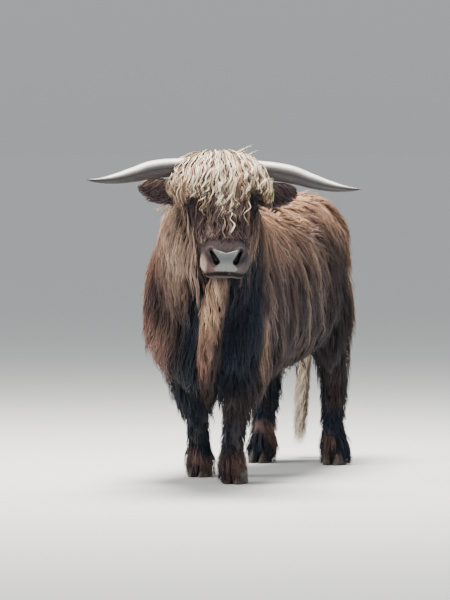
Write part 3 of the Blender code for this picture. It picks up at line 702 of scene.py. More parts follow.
# Hide finish: short flat fur where it is haired, and a damp, finely pebbled leather where it is bare.
hide_look, hide_tree, hide_shader = surface("hide", tuple(brown), 0.8, 0.10)
hide_shader.inputs["Coat Roughness"].default_value = 0.38
coat_colour = put_node(hide_tree, "ShaderNodeAttribute", attribute_name="coat")
bare_mask = put_node(hide_tree, "ShaderNodeAttribute", attribute_name="bare")
hair_grain = put_node(hide_tree, "ShaderNodeAttribute", attribute_name="grain")
hide_spot = put_node(hide_tree, "ShaderNodeTexCoord")
short_fur = put_node(hide_tree, "ShaderNodeGroup", node_tree=streaks, Scale=420.0, Detail=3.0, Darkest=0.62,
                     Lightest=1.25)
pebbles = put_node(hide_tree, "ShaderNodeTexVoronoi", Scale=340.0)
plain = put_node(hide_tree, "ShaderNodeMix", data_type="RGBA")
relief = put_node(hide_tree, "ShaderNodeMix", data_type="FLOAT")
damp = put_node(hide_tree, "ShaderNodeMapRange")
damp.inputs["To Min"].default_value = 0.85
damp.inputs["To Max"].default_value = 0.38
moisture = put_node(hide_tree, "ShaderNodeMapRange")
moisture.inputs["To Max"].default_value = 0.5
wire(coat_colour, "Color", short_fur, "Colour")
wire(hair_grain, "Vector", short_fur, "Vector")
wire(hide_spot, "Object", pebbles, "Vector")
for mask in ((plain, "Factor"), (relief, "Factor"), (damp, "Value"), (moisture, "Value")):
    wire(bare_mask, "Fac", *mask)
wire(short_fur, "Colour", plain, "A")
wire(coat_colour, "Color", plain, "B")
wire(plain, "Result", hide_shader, "Base Color")
wire(damp, "Result", hide_shader, "Roughness")
wire(moisture, "Result", hide_shader, "Coat Weight")
wire(short_fur, "Height", relief, "A")
wire(pebbles, "Distance", relief, "B")
add_bump(relief, "Result", hide_shader, 0.6, 0.0015)
dress(skin, hide_look)

# ------------------------------------------------------------------ the eyes
# Dark brown cattle eyes with level, oval pupils. Each is one wet ball that swells over the iris and
# sits in its socket in the hide, between the lids.
eye_look, eye_tree, eye_shader = surface("wet_eye", (0.03, 0.02, 0.015), 0.22, 0.12)
eye_shader.inputs["Coat Weight"].default_value = 0.14
eye_shader.inputs["Coat Roughness"].default_value = 0.05
iris_colour = put_node(eye_tree, "ShaderNodeAttribute", attribute_name="iris")
iris_spot = put_node(eye_tree, "ShaderNodeTexCoord")
iris_fibres = put_node(eye_tree, "ShaderNodeGroup", node_tree=streaks, Scale=420.0, Detail=3.0, Darkest=0.75,
                       Lightest=1.30)
wire(iris_colour, "Color", iris_fibres, "Colour")
wire(iris_spot, "Object", iris_fibres, "Vector")
wire(iris_fibres, "Colour", eye_shader, "Base Color")
cornea_bulge = 0.0016
pupil_half_length, pupil_half_height = 0.0088, 0.0046
for side, name in both_sides:
    look, slit, _ = eye_axes(side)
    cleared()
    bpy.ops.mesh.primitive_uv_sphere_add(segments=64, ring_count=48, radius=eye_radius)
    eye = bpy.context.object
    eye.name = eye.data.name = f"eye_ball_{name}"
    ball = coordinates(eye.data)
    ball[:, 2] += cornea_bulge * step_up(ball[:, 2], 0.45 * eye_radius, 0.95 * eye_radius)
    iris = step_up(ball[:, 2], 0.40 * eye_radius, 0.52 * eye_radius)
    from_middle = (ball[:, 0] / pupil_half_length) ** 2 + (ball[:, 1] / pupil_half_height) ** 2
    pupil = step_up(-from_middle, -1.25, -0.85) * (ball[:, 2] > 0)
    eye_colour = mix(mix(linear(58, 45, 40), linear(38, 23, 16), iris), linear(8, 7, 10), pupil)
    ball_axes = np.array([slit, look.cross(slit), look])
    put_back(eye.data, ball @ ball_axes + np.array(eye_places[name]))
    paint(eye.data, "iris", eye_colour)
    bpy.ops.object.shade_smooth()
    dress(eye, eye_look)
    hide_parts(f"eye_{name}")
    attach(eye, "root")

# ------------------------------------------------------------------ the horns
# Pale grey horn, round and ringed towards the head, drawn out to smooth dark points. Each grows from
# under the forelock, out level and then forwards.
horn_radius, horn_shift, horn_out = 0.0365, 0.006, 0.030
ring_pitch, ring_height = 0.0125, 0.0007
horn_line = [
    (0.025, 0.000, -0.045, 0.90),
    (0.060, 0.000, -0.018, 0.98),
    (0.095, 0.000, 0.000, 1.02),
    (0.180, 0.006, 0.002, 1.02),
    (0.280, 0.028, -0.010, 0.99),
    (0.360, 0.062, -0.033, 0.80),
    (0.430, 0.098, -0.050, 0.57),
    (0.482, 0.124, -0.057, 0.35),
    (0.520, 0.140, -0.058, 0.19),
    (0.543, 0.148, -0.055, 0.06),
]
horn_look, horn_tree, horn_shader = surface("horn", tuple(linear(176, 170, 166)), 0.38, 0.5)
horn_shade = put_node(horn_tree, "ShaderNodeAttribute", attribute_name="horn")
horn_spot = put_node(horn_tree, "ShaderNodeTexCoord")
horn_stretch = put_node(horn_tree, "ShaderNodeMapping", Scale=(0.25, 1.0, 1.0))
horn_grain = put_node(horn_tree, "ShaderNodeGroup", node_tree=streaks, Scale=120.0, Detail=5.0,
                      Distortion=0.4, Darkest=0.80, Lightest=1.12)
wire(horn_spot, "Object", horn_stretch, "Vector")
wire(horn_stretch, "Vector", horn_grain, "Vector")
wire(horn_shade, "Color", horn_grain, "Colour")
wire(horn_grain, "Colour", horn_shader, "Base Color")
add_bump(horn_grain, "Height", horn_shader, 0.35, 0.0008)
for side, name in both_sides:
    root = on_head(horn_shift, 0.0, horn_out)
    cleared()
    bpy.ops.curve.primitive_bezier_curve_add()
    horn = bpy.context.object
    horn.name = f"ringed_horn_{name}"
    spline = horn.data.splines[0]
    spline.bezier_points.add(len(horn_line) - 2)
    for knot, (out, ahead, up, share) in zip(spline.bezier_points, horn_line):
        knot.co = root + to_left * side * out + head_ahead * ahead + head_up * up
        knot.radius = share
        knot.handle_left_type = knot.handle_right_type = "AUTO"
    horn.data.dimensions = "3D"
    horn.data.resolution_u = 16
    horn.data.bevel_depth = horn_radius
    horn.data.bevel_resolution = 6
    horn.data.use_fill_caps = True
    bpy.ops.object.convert(target="MESH")
    horn = bpy.context.object
    shape = bmesh.new()
    shape.from_mesh(horn.data)
    bmesh.ops.remove_doubles(shape, verts=shape.verts, dist=join_distance)
    bmesh.ops.recalc_face_normals(shape, faces=shape.faces)
    shape.to_mesh(horn.data)
    shape.free()
    places, outward = coordinates(horn.data), point_normals(horn.data)
    out = (places - np.array(root)) @ left_axis * side
    rings = np.sin(out * 2 * math.pi / ring_pitch + 1.5 * np.sin(out * 70)) * step_up(-out, -0.34, -0.20)
    places += outward * (ring_height * rings)[:, None]
    put_back(horn.data, places)
    # Painted shade: the horn dark grey underneath and pale on top.
    under = step_up(-outward[:, 2], -0.82, -0.22)
    horn_colour = mix(linear(214, 208, 198), linear(66, 62, 64), under)
    horn_colour = mix(horn_colour, linear(52, 45, 45), step_up(out, 0.43, 0.53))
    horn_colour = horn_colour * (1 - 0.10 * (rings < -0.3))[:, None]
    horn_colour = mix(horn_colour, linear(214, 200, 180), 0.5 * step_up(-out, -0.16, -0.08))
    paint(horn.data, "horn", horn_colour)
    pick_up(horn)
    bpy.ops.object.shade_smooth_by_angle(angle=math.radians(50.0))
    dress(horn, horn_look)
    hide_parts(f"horn_{name}")
    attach(horn, "root")

# ------------------------------------------------------------------ the hooves
# Two claws to each foot, of dark horn with growth rings, flat beneath and rounded at the edges. Their
# mottling, soft noise between a dark and a light colour, also serves the plastic of the ear tag.
mottling, mottling_in, mottling_out = effect(
    "mottling",
    {"Vector": "Vector", "Scale": "Float", "Detail": "Float", "Low": "Float", "High": "Float",
     "Dark": "Color", "Light": "Color"},
    {"Colour": "Color", "Height": "Float"})
mottle_noise = put_node(mottling, "ShaderNodeTexNoise")
mottle_share = put_node(mottling, "ShaderNodeMapRange")
mottled = put_node(mottling, "ShaderNodeMix", data_type="RGBA")
for inlet in ("Vector", "Scale", "Detail"):
    wire(mottling_in, inlet, mottle_noise, inlet)
wire(mottling_in, "Low", mottle_share, "From Min")
wire(mottling_in, "High", mottle_share, "From Max")
wire(mottle_noise, "Fac", mottle_share, "Value")
wire(mottle_share, "Result", mottled, "Factor")
wire(mottling_in, "Dark", mottled, "A")
wire(mottling_in, "Light", mottled, "B")
wire(mottled, "Result", mottling_out, "Colour")
wire(mottle_noise, "Fac", mottling_out, "Height")

hoof_look, hoof_tree, hoof_shader = surface("hoof", tuple(linear(58, 50, 46)), 0.5, 0.4)
hoof_spot = put_node(hoof_tree, "ShaderNodeTexCoord")
hoof_rings = put_node(hoof_tree, "ShaderNodeTexWave", Scale=60.0, Distortion=2.5, Detail=2.0,
                      bands_direction="Z")
hoof_tones = put_node(hoof_tree, "ShaderNodeGroup", node_tree=mottling, Scale=55.0, Detail=5.0, Low=0.35,
                      High=0.85, Dark=(*linear(38, 33, 31), 1.0), Light=(*linear(112, 98, 84), 1.0))
wire(hoof_spot, "Object", hoof_rings, "Vector")
wire(hoof_spot, "Object", hoof_tones, "Vector")
wire(hoof_tones, "Colour", hoof_shader, "Base Color")
add_bump(hoof_rings, "Fac", hoof_shader, 0.5, 0.0010)
hoof_rounding, hoof_taper, hoof_lift = 0.006, 0.10, 0.012
for end_name, side_name, claw_name in product(("fore", "hind"), ("left", "right"), ("a", "b")):
    node = f"{end_name}_hoof_{side_name}_{claw_name}"
    hoof = loose_copy(node)
    hoof.name = hoof.data.name = f"claw_{end_name}_{side_name}_{claw_name}"
    use_modifier(hoof, "BEVEL", width=hoof_rounding, segments=4, limit_method="ANGLE",
                 angle_limit=math.radians(40.0))
    places = coordinates(hoof.data)
    low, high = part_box(node)
    share = np.clip(places[:, 2] / (high.z - low.z), 0, 1)
    middle = np.array([0.5 * (low.x + high.x), 0.5 * (low.y + high.y)])
    places[:, :2] = middle + (places[:, :2] - middle) * (1 - hoof_taper * share ** 2)[:, None]
    places[:, 2] += hoof_lift * share ** 3
    put_back(hoof.data, places)
    pick_up(hoof)
    bpy.ops.object.shade_smooth_by_angle(angle=math.radians(45.0))
    dress(hoof, hoof_look)
    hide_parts(node)
    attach(hoof, "root")

# ------------------------------------------------------------------ the ear tag
# A small blank flag of moulded yellow-green plastic, fixed to the left ear by its own stud. It has the
# shape of its solid, with the sharp edges softened.
tag_look, tag_tree, tag_shader = surface("tag_plastic", tuple(linear(206, 208, 96)), 0.42, 0.45)
tag_spot = put_node(tag_tree, "ShaderNodeTexCoord")
tag_tones = put_node(tag_tree, "ShaderNodeGroup", node_tree=mottling, Scale=70.0, Detail=4.0, Low=0.30,
                     High=0.55, Dark=(*linear(122, 124, 82), 1.0), Light=(*linear(186, 190, 126), 1.0))
wire(tag_spot, "Object", tag_tones, "Vector")
wire(tag_tones, "Colour", tag_shader, "Base Color")
add_bump(tag_tones, "Height", tag_shader, 0.15, 0.0005)
tag = loose_copy("ear_tag")
tag.name = tag.data.name = "tag_flag"
use_modifier(tag, "BEVEL", width=0.0007, segments=2, limit_method="ANGLE", angle_limit=math.radians(40.0))
dress(tag, tag_look)
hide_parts("ear_tag")
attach(tag, "root")

# ------------------------------------------------------------------ the coat of the body
# Long red-brown hair in thin overlapping locks that hang from the flanks and chest and wave along the
# back. Each lock is a closed sliver of mesh rooted in the hide, and the locks of a region make up one
# piece. All the other hair is made in the same way.
skin.data.calc_loop_triangles()
triangle_corners = read(skin.data.loop_triangles, "vertices", 3, np.int32)
triangle_loops = read(skin.data.loop_triangles, "loops", 3, np.int32)
loop_uvs = read(skin.data.uv_layers["OFBake"].data, "uv", 2)
skin_places = coordinates(skin.data)
skin_normals = point_normals(skin.data)
skin_owner = owners(skin_places)
sides = [skin_places[triangle_corners[:, k]] for k in range(3)]
triangle_area = 0.5 * np.linalg.norm(np.cross(sides[1] - sides[0], sides[2] - sides[0]), axis=1)
triangle_middle = sum(sides) / 3
triangle_spots = head_places(triangle_middle)
triangle_owner = skin_owner[triangle_corners[:, 0]]
haired = 1.0 - np.clip(3.0 * bare[triangle_corners].max(1), 0.0, 1.0)
skin_tree = BVHTree.FromPolygons(skin_places.tolist(), triangle_corners.tolist())
part = {name: np.isin(triangle_owner, [k for k, node in enumerate(flesh) if node.startswith(name)])
        for name in ("trunk", "neck", "head", "dewlap", "tail")}
down = np.array([0.0, 0.0, -1.0])


def unit(vectors):
    """Vectors brought to length 1."""
    return vectors / np.maximum(np.linalg.norm(vectors, axis=-1, keepdims=True), 1e-9)


def turned(vectors, axes, angles):
    """Vectors turned about unit axes at right angles to them."""
    return vectors * np.cos(angles)[:, None] + np.cross(axes, vectors) * np.sin(angles)[:, None]


def along_surface(vectors, normals):
    """The share of each vector that runs along the surface."""
    return vectors - normals * (vectors * normals).sum(1, keepdims=True)


def nearest_skin(points):
    """The nearest place on the skin to each point, the skin's normal there, and its triangle."""
    hits = [skin_tree.find_nearest(point) for point in points]
    places = np.array([hit[0] for hit in hits])
    faces = np.array([hit[2] for hit in hits])
    return places, unit(skin_normals[triangle_corners[faces]].mean(1)), faces


def triangle_shares(count, dice):
    """Random shares of the three corners of triangles, even over their area."""
    a, b = np.sqrt(dice.random(count)), dice.random(count)
    return np.stack([1 - a, a * (1 - b), a * b], 1)[:, :, None]


def scatter(weight, count, dice):
    """Random places on the skin, thicker where the weight of its triangles is more."""
    chance = weight * triangle_area
    picked = dice.choice(len(chance), count, p=chance / chance.sum())
    share = triangle_shares(count, dice)
    places = (skin_places[triangle_corners[picked]] * share).sum(1)
    return places, unit((skin_normals[triangle_corners[picked]] * share).sum(1))


def grown(roots, normals, lie, length, rise, droop, cling, steps):
    """The middle lines of locks: from their roots they run along the skin with the lie of the coat,
    sink under their weight by droop, and keep within rise of the skin as far as cling says."""
    places, outward = roots.copy(), normals.copy()
    lines = [places.copy()]
    heading = unit(lie(roots, normals) + normals * 0.35)
    for step in range(1, steps + 1):
        share = step / steps
        wish = unit(along_surface(lie(places, outward), outward) + outward * 0.05)
        pull = min(droop * share, 0.9)
        heading = unit(heading * 0.45 + (wish * (1 - pull) + down * pull) * 0.55)
        places = places + heading * (length / steps)[:, None]
        under, outward, _ = nearest_skin(places)
        height = ((places - under) * outward).sum(1)
        lowest = rise * min(1.0, 1.6 * share) * 0.45
        highest = rise * min(1.0, 0.25 + 1.3 * share)
        height_wished = np.clip(height, lowest, np.maximum(highest, height - (height - highest) * cling))
        places = places + outward * (height_wished - height)[:, None]
        lines.append(places.copy())
    return np.stack(lines, 1)


def cut_short(lines, share):
    """Each line drawn again with as many points over its first share."""
    steps = lines.shape[1] - 1
    stretch = np.linspace(0, steps, steps + 1)[None] * share[:, None]
    lower = np.minimum(stretch.astype(int), steps - 1)
    part_way = (stretch - lower)[:, :, None]
    rows = np.arange(len(lines))[:, None]
    return lines[rows, lower] * (1 - part_way) + lines[rows, lower + 1] * part_way


# The finish of the hair: the colours of the coat, single hairs along each lock, and a soft gloss.
coat_look, coat_tree, coat_shader = surface("coat_hair", (0.2, 0.1, 0.05), 0.60, 0.17)
lock_colour = put_node(coat_tree, "ShaderNodeAttribute", attribute_name="coat")
lock_strand = put_node(coat_tree, "ShaderNodeAttribute", attribute_name="strand")
single_hairs = put_node(coat_tree, "ShaderNodeGroup", node_tree=streaks, Scale=1.0, Detail=2.0, Darkest=0.72,
                        Lightest=1.22)
wire(lock_colour, "Color", single_hairs, "Colour")
wire(lock_strand, "Vector", single_hairs, "Vector")
wire(single_hairs, "Colour", coat_shader, "Base Color")
add_bump(single_hairs, "Height", coat_shader, 0.5, 0.0006)
patch_width = 0.003
hair_pitch, hair_run, hair_shift = 0.0008, 14.0, 3.7
lock_flatness = 0.25
root_depth = 0.003
lowest_tip = 0.006


def lock_mesh(name, lines, normals, width, colours, patch):
    """One piece from the middle lines of many locks: each a tapered three-sided sliver, closed at its
    root and its tip, with colours from root to tip and a small patch of the skin's own unwrap."""
    count, rings, _ = lines.shape
    ahead = unit(np.gradient(lines, axis=1))
    across = unit(np.cross(ahead, normals[:, None, :]))
    above = np.cross(across, ahead)
    share = np.linspace(0, 1, rings)
    profile = np.minimum(1.0, 0.55 + 2.2 * share) * (1 - share ** 2.4) ** 0.8
    half = 0.5 * width[:, None, None] * profile[None, :, None]
    ridges = lines + above * half * 2 * lock_flatness
    body = np.stack([lines - across * half, lines + across * half, ridges], 2)[:, :-1]
    points = np.concatenate([body.reshape(count, -1, 3), lines[:, -1:]], 1)
    each = points.shape[1]
    walls = ((0, 1), (1, 2), (2, 0))
    quads = [(3 * k + a, 3 * k + b, 3 * k + 3 + b, 3 * k + 3 + a) for k in range(rings - 2) for a, b in walls]
    last = 3 * (rings - 2)
    tips = [(last + a, last + b, each - 1) for a, b in walls] + [(2, 1, 0)]
    loops = np.concatenate([np.ravel(quads), np.ravel(tips)])
    sizes = np.array([4] * len(quads) + [3] * len(tips))
    starts = np.concatenate([[0], np.cumsum(sizes)[:-1]])
    offsets = np.arange(count)
    mesh = bpy.data.meshes.new(name)
    mesh.vertices.add(count * each)
    mesh.vertices.foreach_set("co", points.astype(np.float32).ravel())
    mesh.loops.add(count * len(loops))
    all_loops = (offsets[:, None] * each + loops[None, :]).ravel()
    mesh.loops.foreach_set("vertex_index", all_loops.astype(np.int32))
    mesh.polygons.add(count * len(sizes))
    mesh.polygons.foreach_set("loop_start", (offsets[:, None] * len(loops) + starts).ravel().astype(np.int32))
    mesh.polygons.foreach_set("use_smooth", np.ones(count * len(sizes), bool))
    mesh.update(calc_edges=True)
    tone = np.concatenate([np.repeat(colours[:, :-1], 3, axis=1), colours[:, -1:]], 1).reshape(-1, 3)
    paint(mesh, "coat", tone)
    sideways = np.concatenate([np.tile([-0.5, 0.5, 0.0], rings - 1), [0.0]])
    lengthways = np.concatenate([np.repeat(share[:-1], 3), [1.0]])
    spots = patch[:, None, :] + patch_width * np.stack([sideways, lengthways - 0.5], 1)[None]
    unwrap = mesh.uv_layers.new(name="OFBake")
    unwrap.data.foreach_set("uv", spots.reshape(-1, 2)[all_loops].astype(np.float32).ravel())
    long = np.linalg.norm(np.diff(lines, axis=1), axis=2).sum(1)
    strand = np.stack([sideways[None] * width[:, None] / hair_pitch,
                       lengthways[None] * long[:, None] * hair_run,
                       np.repeat(offsets[:, None] * hair_shift, each, axis=1)], 2)
    mark(mesh, "strand", strand)
    mesh.materials.append(coat_look)
    piece = bpy.data.objects.new(name, mesh)
    bpy.context.collection.objects.link(piece)
    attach(piece, "root")
    return piece


def crest(behind):
    """How far across the top of the neck or back lies, at its distance behind the origin."""
    share = step_up(-behind, 0.15, -poll.y)
    return midline + (poll.x - midline) * share


def body_lie(points, normals):
    """The lie of the coat on the body: parted along the back, down and back over the flanks."""
    beside = points[:, 0] - crest(points[:, 1])
    top = step_up(points[:, 2], 0.84, 1.08)
    toward = [np.tanh(beside / 0.06) * (0.25 + 0.45 * top), 0.22 + 0.95 * top, -1.0 + 0.45 * top]
    angle = swell(points, 0.42, 11) * (0.10 + 0.46 * top) + swell(points, 0.15, 12) * (0.10 + 0.42 * top)
    return turned(unit(np.stack(toward, 1)), normals, angle)


def bundled(name, lines, normals, lift, followers, width, spread, dice, wave=0.0, wave_length=0.08,
            wave_from=None, onset=0.8, loose=0.45, gather=0.72, ragged=0.28, tone=0.12, root_shade=0.50,
            colour_of=markings, tint=None, on_skin=True, slot="coat"):
    """A piece of coat from leading lines, each with followers that gather towards it at their tips, as
    hair does in a lock. Neighbouring locks wave together, most of all where the waves run out from
    one point."""
    leaders, steps = len(lines), lines.shape[1] - 1
    share = np.linspace(0, 1, steps + 1)
    side = unit(np.cross(unit(np.gradient(lines, axis=1)), normals[:, None, :]))
    own = np.repeat(np.arange(leaders), followers)
    spin = dice.uniform(0, 2 * math.pi, len(own))
    apart = spread * np.sqrt(dice.random(len(own)))
    apart[::followers] = 0.0
    first = side[:, 0]
    second = unit(np.cross(normals, first))
    offset = first[own] * (np.cos(spin) * apart)[:, None] + second[own] * (np.sin(spin) * apart)[:, None]
    base, base_normals, faces = nearest_skin(lines[own, 0] + offset)
    if on_skin:
        offset = base - lines[own, 0]
    else:
        base, base_normals = lines[own, 0] + offset, normals[own]
    closing = 1 - gather * share ** 0.8
    strands = lines[own] + offset[:, None, :] * closing[None, :, None]
    strays = dice.normal(size=(len(own), 3)) * spread * 0.30
    strands += strays[:, None, :] * (share ** 1.5)[None, :, None]
    sunk = lift[own] * dice.uniform(-0.70, 0.20, len(own))
    strands += base_normals[:, None, :] * sunk[:, None, None] * (share * (1.2 - share))[None, :, None]
    if wave:
        reach = np.linalg.norm(np.diff(lines, axis=1), axis=2).sum(1)
        together = 2.5 * swell(lines[:, 0], 3 * wave_length, 61) + dice.normal(size=leaders)
        phase = together[own] + dice.normal(size=len(own)) * loose
        wave_count = reach / wave_length * dice.uniform(0.85, 1.18, leaders)
        waves = wave_count[own] * (1 + 0.1 * loose * dice.normal(size=len(own)))
        bends = np.sin(share * math.pi * np.array([[1.0], [2.3]]))
        uneven = dice.normal(size=(leaders, 2))[own][:, :, None] * bends[None]
        turns = phase[:, None] + (waves[:, None] * share[None] + 0.35 * uneven.sum(1)) * 2 * math.pi
        if wave_from is not None:
            out = np.linalg.norm(lines - wave_from, axis=2) / wave_length
            out = out * dice.uniform(0.96, 1.04, (leaders, 1))
            drift = swell(lines.reshape(-1, 3), 2.5 * wave_length, 63).reshape(leaders, -1)
            turns = (2 * math.pi * out + 1.6 * drift + 0.5 * dice.normal(size=(leaders, 1)))[own]
            turns = turns + loose * dice.normal(size=(len(own), 1))
        swing = wave * (dice.uniform(0.6, 1.3, leaders)[own])[:, None] * (1.5 * share ** onset)[None]
        strands += side[own] * (swing * np.sin(turns))[:, :, None]
        lifting = np.cross(side[own], unit(np.gradient(lines, axis=1))[own])
        strands += lifting * (0.5 * swing * np.cos(turns))[:, :, None]
    strands = cut_short(strands, dice.uniform(1 - ragged, 1.0, len(own)))
    strands[:, 0] -= base_normals * root_depth
    strands[:, :, 2] = np.maximum(strands[:, :, 2], lowest_tip)
    shade = np.exp(dice.normal(size=leaders)[own] * tone + dice.normal(size=len(own)) * tone * 0.7)
    warm = dice.normal(size=(len(own), 1)) * 0.04 * np.array([[1.0, 0.0, -1.0]]) + 1.0
    shaded = root_shade + (1.12 - root_shade) * share ** 0.7
    if tint is None:
        below = colour_of(strands.reshape(-1, 3)).reshape(strands.shape)
        colours = (0.3 * colour_of(base)[:, None, :] + 0.7 * below) * warm[:, None, :] * shaded[None, :, None]
    else:
        colours = tint(strands, own, dice)
    thick = (width(base) if callable(width) else width) * dice.uniform(0.6, 1.35, len(own))
    spot = loop_uvs[triangle_loops[faces]].mean(1)
    colours = np.clip(colours * shade[:, None, None], 0, 1)
    return lock_mesh(name, strands, base_normals, thick, colours, spot)


def locks(name, weight, leaders, followers, lie, length, rise, droop, cling, steps, width, spread, seed,
          **style):
    """A piece of coat whose leading lines are scattered over the skin where weight is high."""
    dice = np.random.default_rng(seed)
    roots, normals = scatter(weight * haired, leaders, dice)
    reach = length(roots) * dice.uniform(0.75, 1.2, leaders)
    lift = rise(roots) * (0.35 + 0.65 * dice.random(leaders) ** 0.6)
    lines = grown(roots, normals, lie, reach, lift, droop, cling, steps)
    return bundled(name, lines, normals, lift, followers, width, spread, dice, **style)


def steady(value):
    """The same value everywhere."""
    return lambda points: np.full(len(points), value)


left_half = triangle_middle[:, 0] > crest(triangle_middle[:, 1])
body_halfway = 0.14
front_half = triangle_middle[:, 1] < body_halfway


def body_length(points):
    """Hair on the body is longest under the flanks and belly."""
    return 0.150 + 0.060 * step_up(-points[:, 2], -0.95, -0.60)


for side_name, half in (("left", left_half), ("right", ~left_half)):
    for end_name, place in (("fore", front_half), ("rear", ~front_half)):
        locks(f"coat_{end_name}_{side_name}", part["trunk"] * half * place, leaders=510, followers=6,
              lie=body_lie, length=body_length, rise=steady(0.042), droop=0.35, cling=0.70, steps=6,
              width=0.0056, spread=0.022, seed=101 + len(side_name) + 10 * len(end_name + side_name),
              wave=0.010, wave_length=0.10, gather=0.80, root_shade=0.42)

# ------------------------------------------------------------------ the hair of the neck
# Long red-brown locks, rooted in the hide, that part at the crest of the neck and hang down both its
# sides and over the chest.


def neck_lie(points, normals):
    """The lie of the coat on the neck and chest: down from the crest on both sides."""
    beside = points[:, 0] - crest(points[:, 1])
    toward = [np.tanh(beside / 0.08) * 0.35, np.full(len(points), 0.10), np.full(len(points), -1.0)]
    angle = swell(points, 0.30, 21) * 0.16 + swell(points, 0.10, 22) * 0.12
    return turned(unit(np.stack(toward, 1)), normals, angle)


def neck_length(points):
    """Hair on the neck and chest hangs in long locks."""
    return 0.170 + 0.040 * step_up(-points[:, 2], -0.95, -0.70)


for side_name, half in (("left", left_half), ("right", ~left_half)):
    locks(f"coat_neck_{side_name}", part["neck"] * half, leaders=410, followers=6, lie=neck_lie,
          length=neck_length, rise=steady(0.042), droop=0.5, cling=0.7, steps=6, width=0.0056, spread=0.020,
          seed=140 + len(side_name), wave=0.009, wave_length=0.10)

# ------------------------------------------------------------------ the wind-blown hair
# Single hairs that stand out along the outline of the body and neck, where light comes through them,
# and a few wide sunlit curls that the wind lays back over the left shoulder.


def stray_lie(points, normals):
    """The lie of the coat, with each hair blown its own way."""
    return turned(body_lie(points, normals), normals, swell(points, 0.03, 71) * 0.5)


def stray_colour(points):
    """The markings, but reddish gold round the far side and the rump, where the light comes through."""
    rim = np.maximum(step_up(-head_places(points)[:, 0], 0.20, 0.26), 0.6 * step_up(points[:, 1], 0.62, 0.74))
    return mix(markings(points), linear(214, 162, 122), 0.75 * rim * step_up(points[:, 2], 0.42, 0.56))


by_edge = step_up(-triangle_spots[:, 0], 0.20, 0.26) * step_up(-triangle_middle[:, 1], -0.3, 0.0)
locks("coat_strays", (part["trunk"] + part["neck"]) * (0.6 + 2.4 * by_edge), leaders=480, followers=3,
      lie=stray_lie, length=steady(0.16), rise=steady(0.070), droop=0.2, cling=0.0, steps=6, width=0.0034,
      spread=0.014, seed=150, wave=0.012, wave_length=0.12, root_shade=0.9, colour_of=stray_colour)


def swirl_lie(points, normals):
    """Back over the shoulder in wide curls."""
    return turned(body_lie(points, normals), normals, 0.35 + swell(points, 0.12, 72) * 0.6)


def swirl_tint(strands, own, dice):
    """Sunlit gold, redder at the roots."""
    share = np.tile(np.linspace(0, 1, strands.shape[1]), len(own))
    return mix(linear(110, 80, 66), linear(230, 184, 142), share ** 0.8).reshape(strands.shape)


by_shoulder = step_up(triangle_spots[:, 0], 0.20, 0.25) * step_up(-triangle_spots[:, 0], -0.46, -0.38)
by_shoulder = by_shoulder * step_up(triangle_middle[:, 2], 1.02, 1.06) * (part["trunk"] + part["neck"])
locks("coat_swirls", by_shoulder, leaders=40, followers=9, lie=swirl_lie, length=steady(0.20),
      rise=steady(0.050), droop=0.15, cling=0.45, steps=8, width=0.0044, spread=0.014, seed=155, wave=0.014,
      wave_length=0.16, tint=swirl_tint, gather=0.85, tone=0.14, loose=0.15)

# ------------------------------------------------------------------ the hair of the legs and feet
# Shaggy dark hair, short at the knees and long above them, and a fringe of feather that springs out over the
# claws and reaches the ground.
leg_names = ("foreleg_left", "foreleg_right", "hindleg_left", "hindleg_right")


def leg_lie(points, normals):
    """Down the legs, sweeping back behind them."""
    swept = 0.12 + 0.30 * step_up(normals[:, 1], 0.0, 0.7)
    heading = np.stack([0.10 * normals[:, 0], swept, np.full(len(points), -1.0)], 1)
    return turned(unit(heading), normals, swell(points, 0.12, 31) * 0.22)


def leg_length(points):
    """Short at the knees, long above them, and long again over the hooves."""
    height = points[:, 2]
    upper = 0.066 + 0.056 * step_up(height, 0.24, 0.42)
    return upper + 0.050 * step_up(-height, -0.17, -0.07)


def leg_rise(points):
    """Hair stands off the leg a little more above the knee."""
    return 0.026 + 0.008 * step_up(points[:, 2], 0.2, 0.5)


for leg_name in leg_names:
    on_leg = triangle_owner == flesh.index(leg_name)
    locks(f"coat_{leg_name}", on_leg * (1 + 1.0 * step_up(-triangle_middle[:, 2], -0.2, -0.08)), leaders=670,
          followers=4, lie=leg_lie, length=leg_length, rise=leg_rise, droop=0.6, cling=0.6, steps=3,
          width=0.0050, spread=0.018, seed=160 + flesh.index(leg_name), wave=0.004, wave_length=0.07)


def foot_lie(points, normals):
    """Out over the claws and down."""
    heading = np.stack([normals[:, 0], normals[:, 1], np.full(len(points), -0.9)], 1)
    return turned(unit(heading), normals, swell(points, 0.05, 32) * 0.3)


for leg_name in leg_names:
    low = (triangle_owner == flesh.index(leg_name)) * step_up(-triangle_middle[:, 2], -0.16, -0.12)
    locks(f"coat_foot_{leg_name}", low, leaders=100, followers=5, lie=foot_lie, length=steady(0.10),
          rise=steady(0.060), droop=0.9, cling=0.0, steps=4, width=0.0046, spread=0.014,
          seed=170 + flesh.index(leg_name), wave=0.004, wave_length=0.06, loose=0.8)

# ------------------------------------------------------------------ the hair of the face
# Fine short hair down the face and round the muzzle, longer mauve-brown locks over the brow that end
# above the nose, and long pinkish falls from both cheeks.


def head_lie(points, normals):
    """Down the face, and back and down over the cheeks."""
    spots = head_places(points)
    cheek = step_up(np.abs(spots[:, 0]), 0.06, 0.11) * step_up(-spots[:, 2], -0.02, 0.04)
    heading = face_axis * (1 - 0.5 * cheek[:, None]) - out_axis * 1.1 * cheek[:, None]
    heading = heading + left_axis * (0.35 * spots[:, 0] / 0.12)[:, None]
    return turned(unit(heading), normals, swell(points, 0.06, 41) * 0.2)


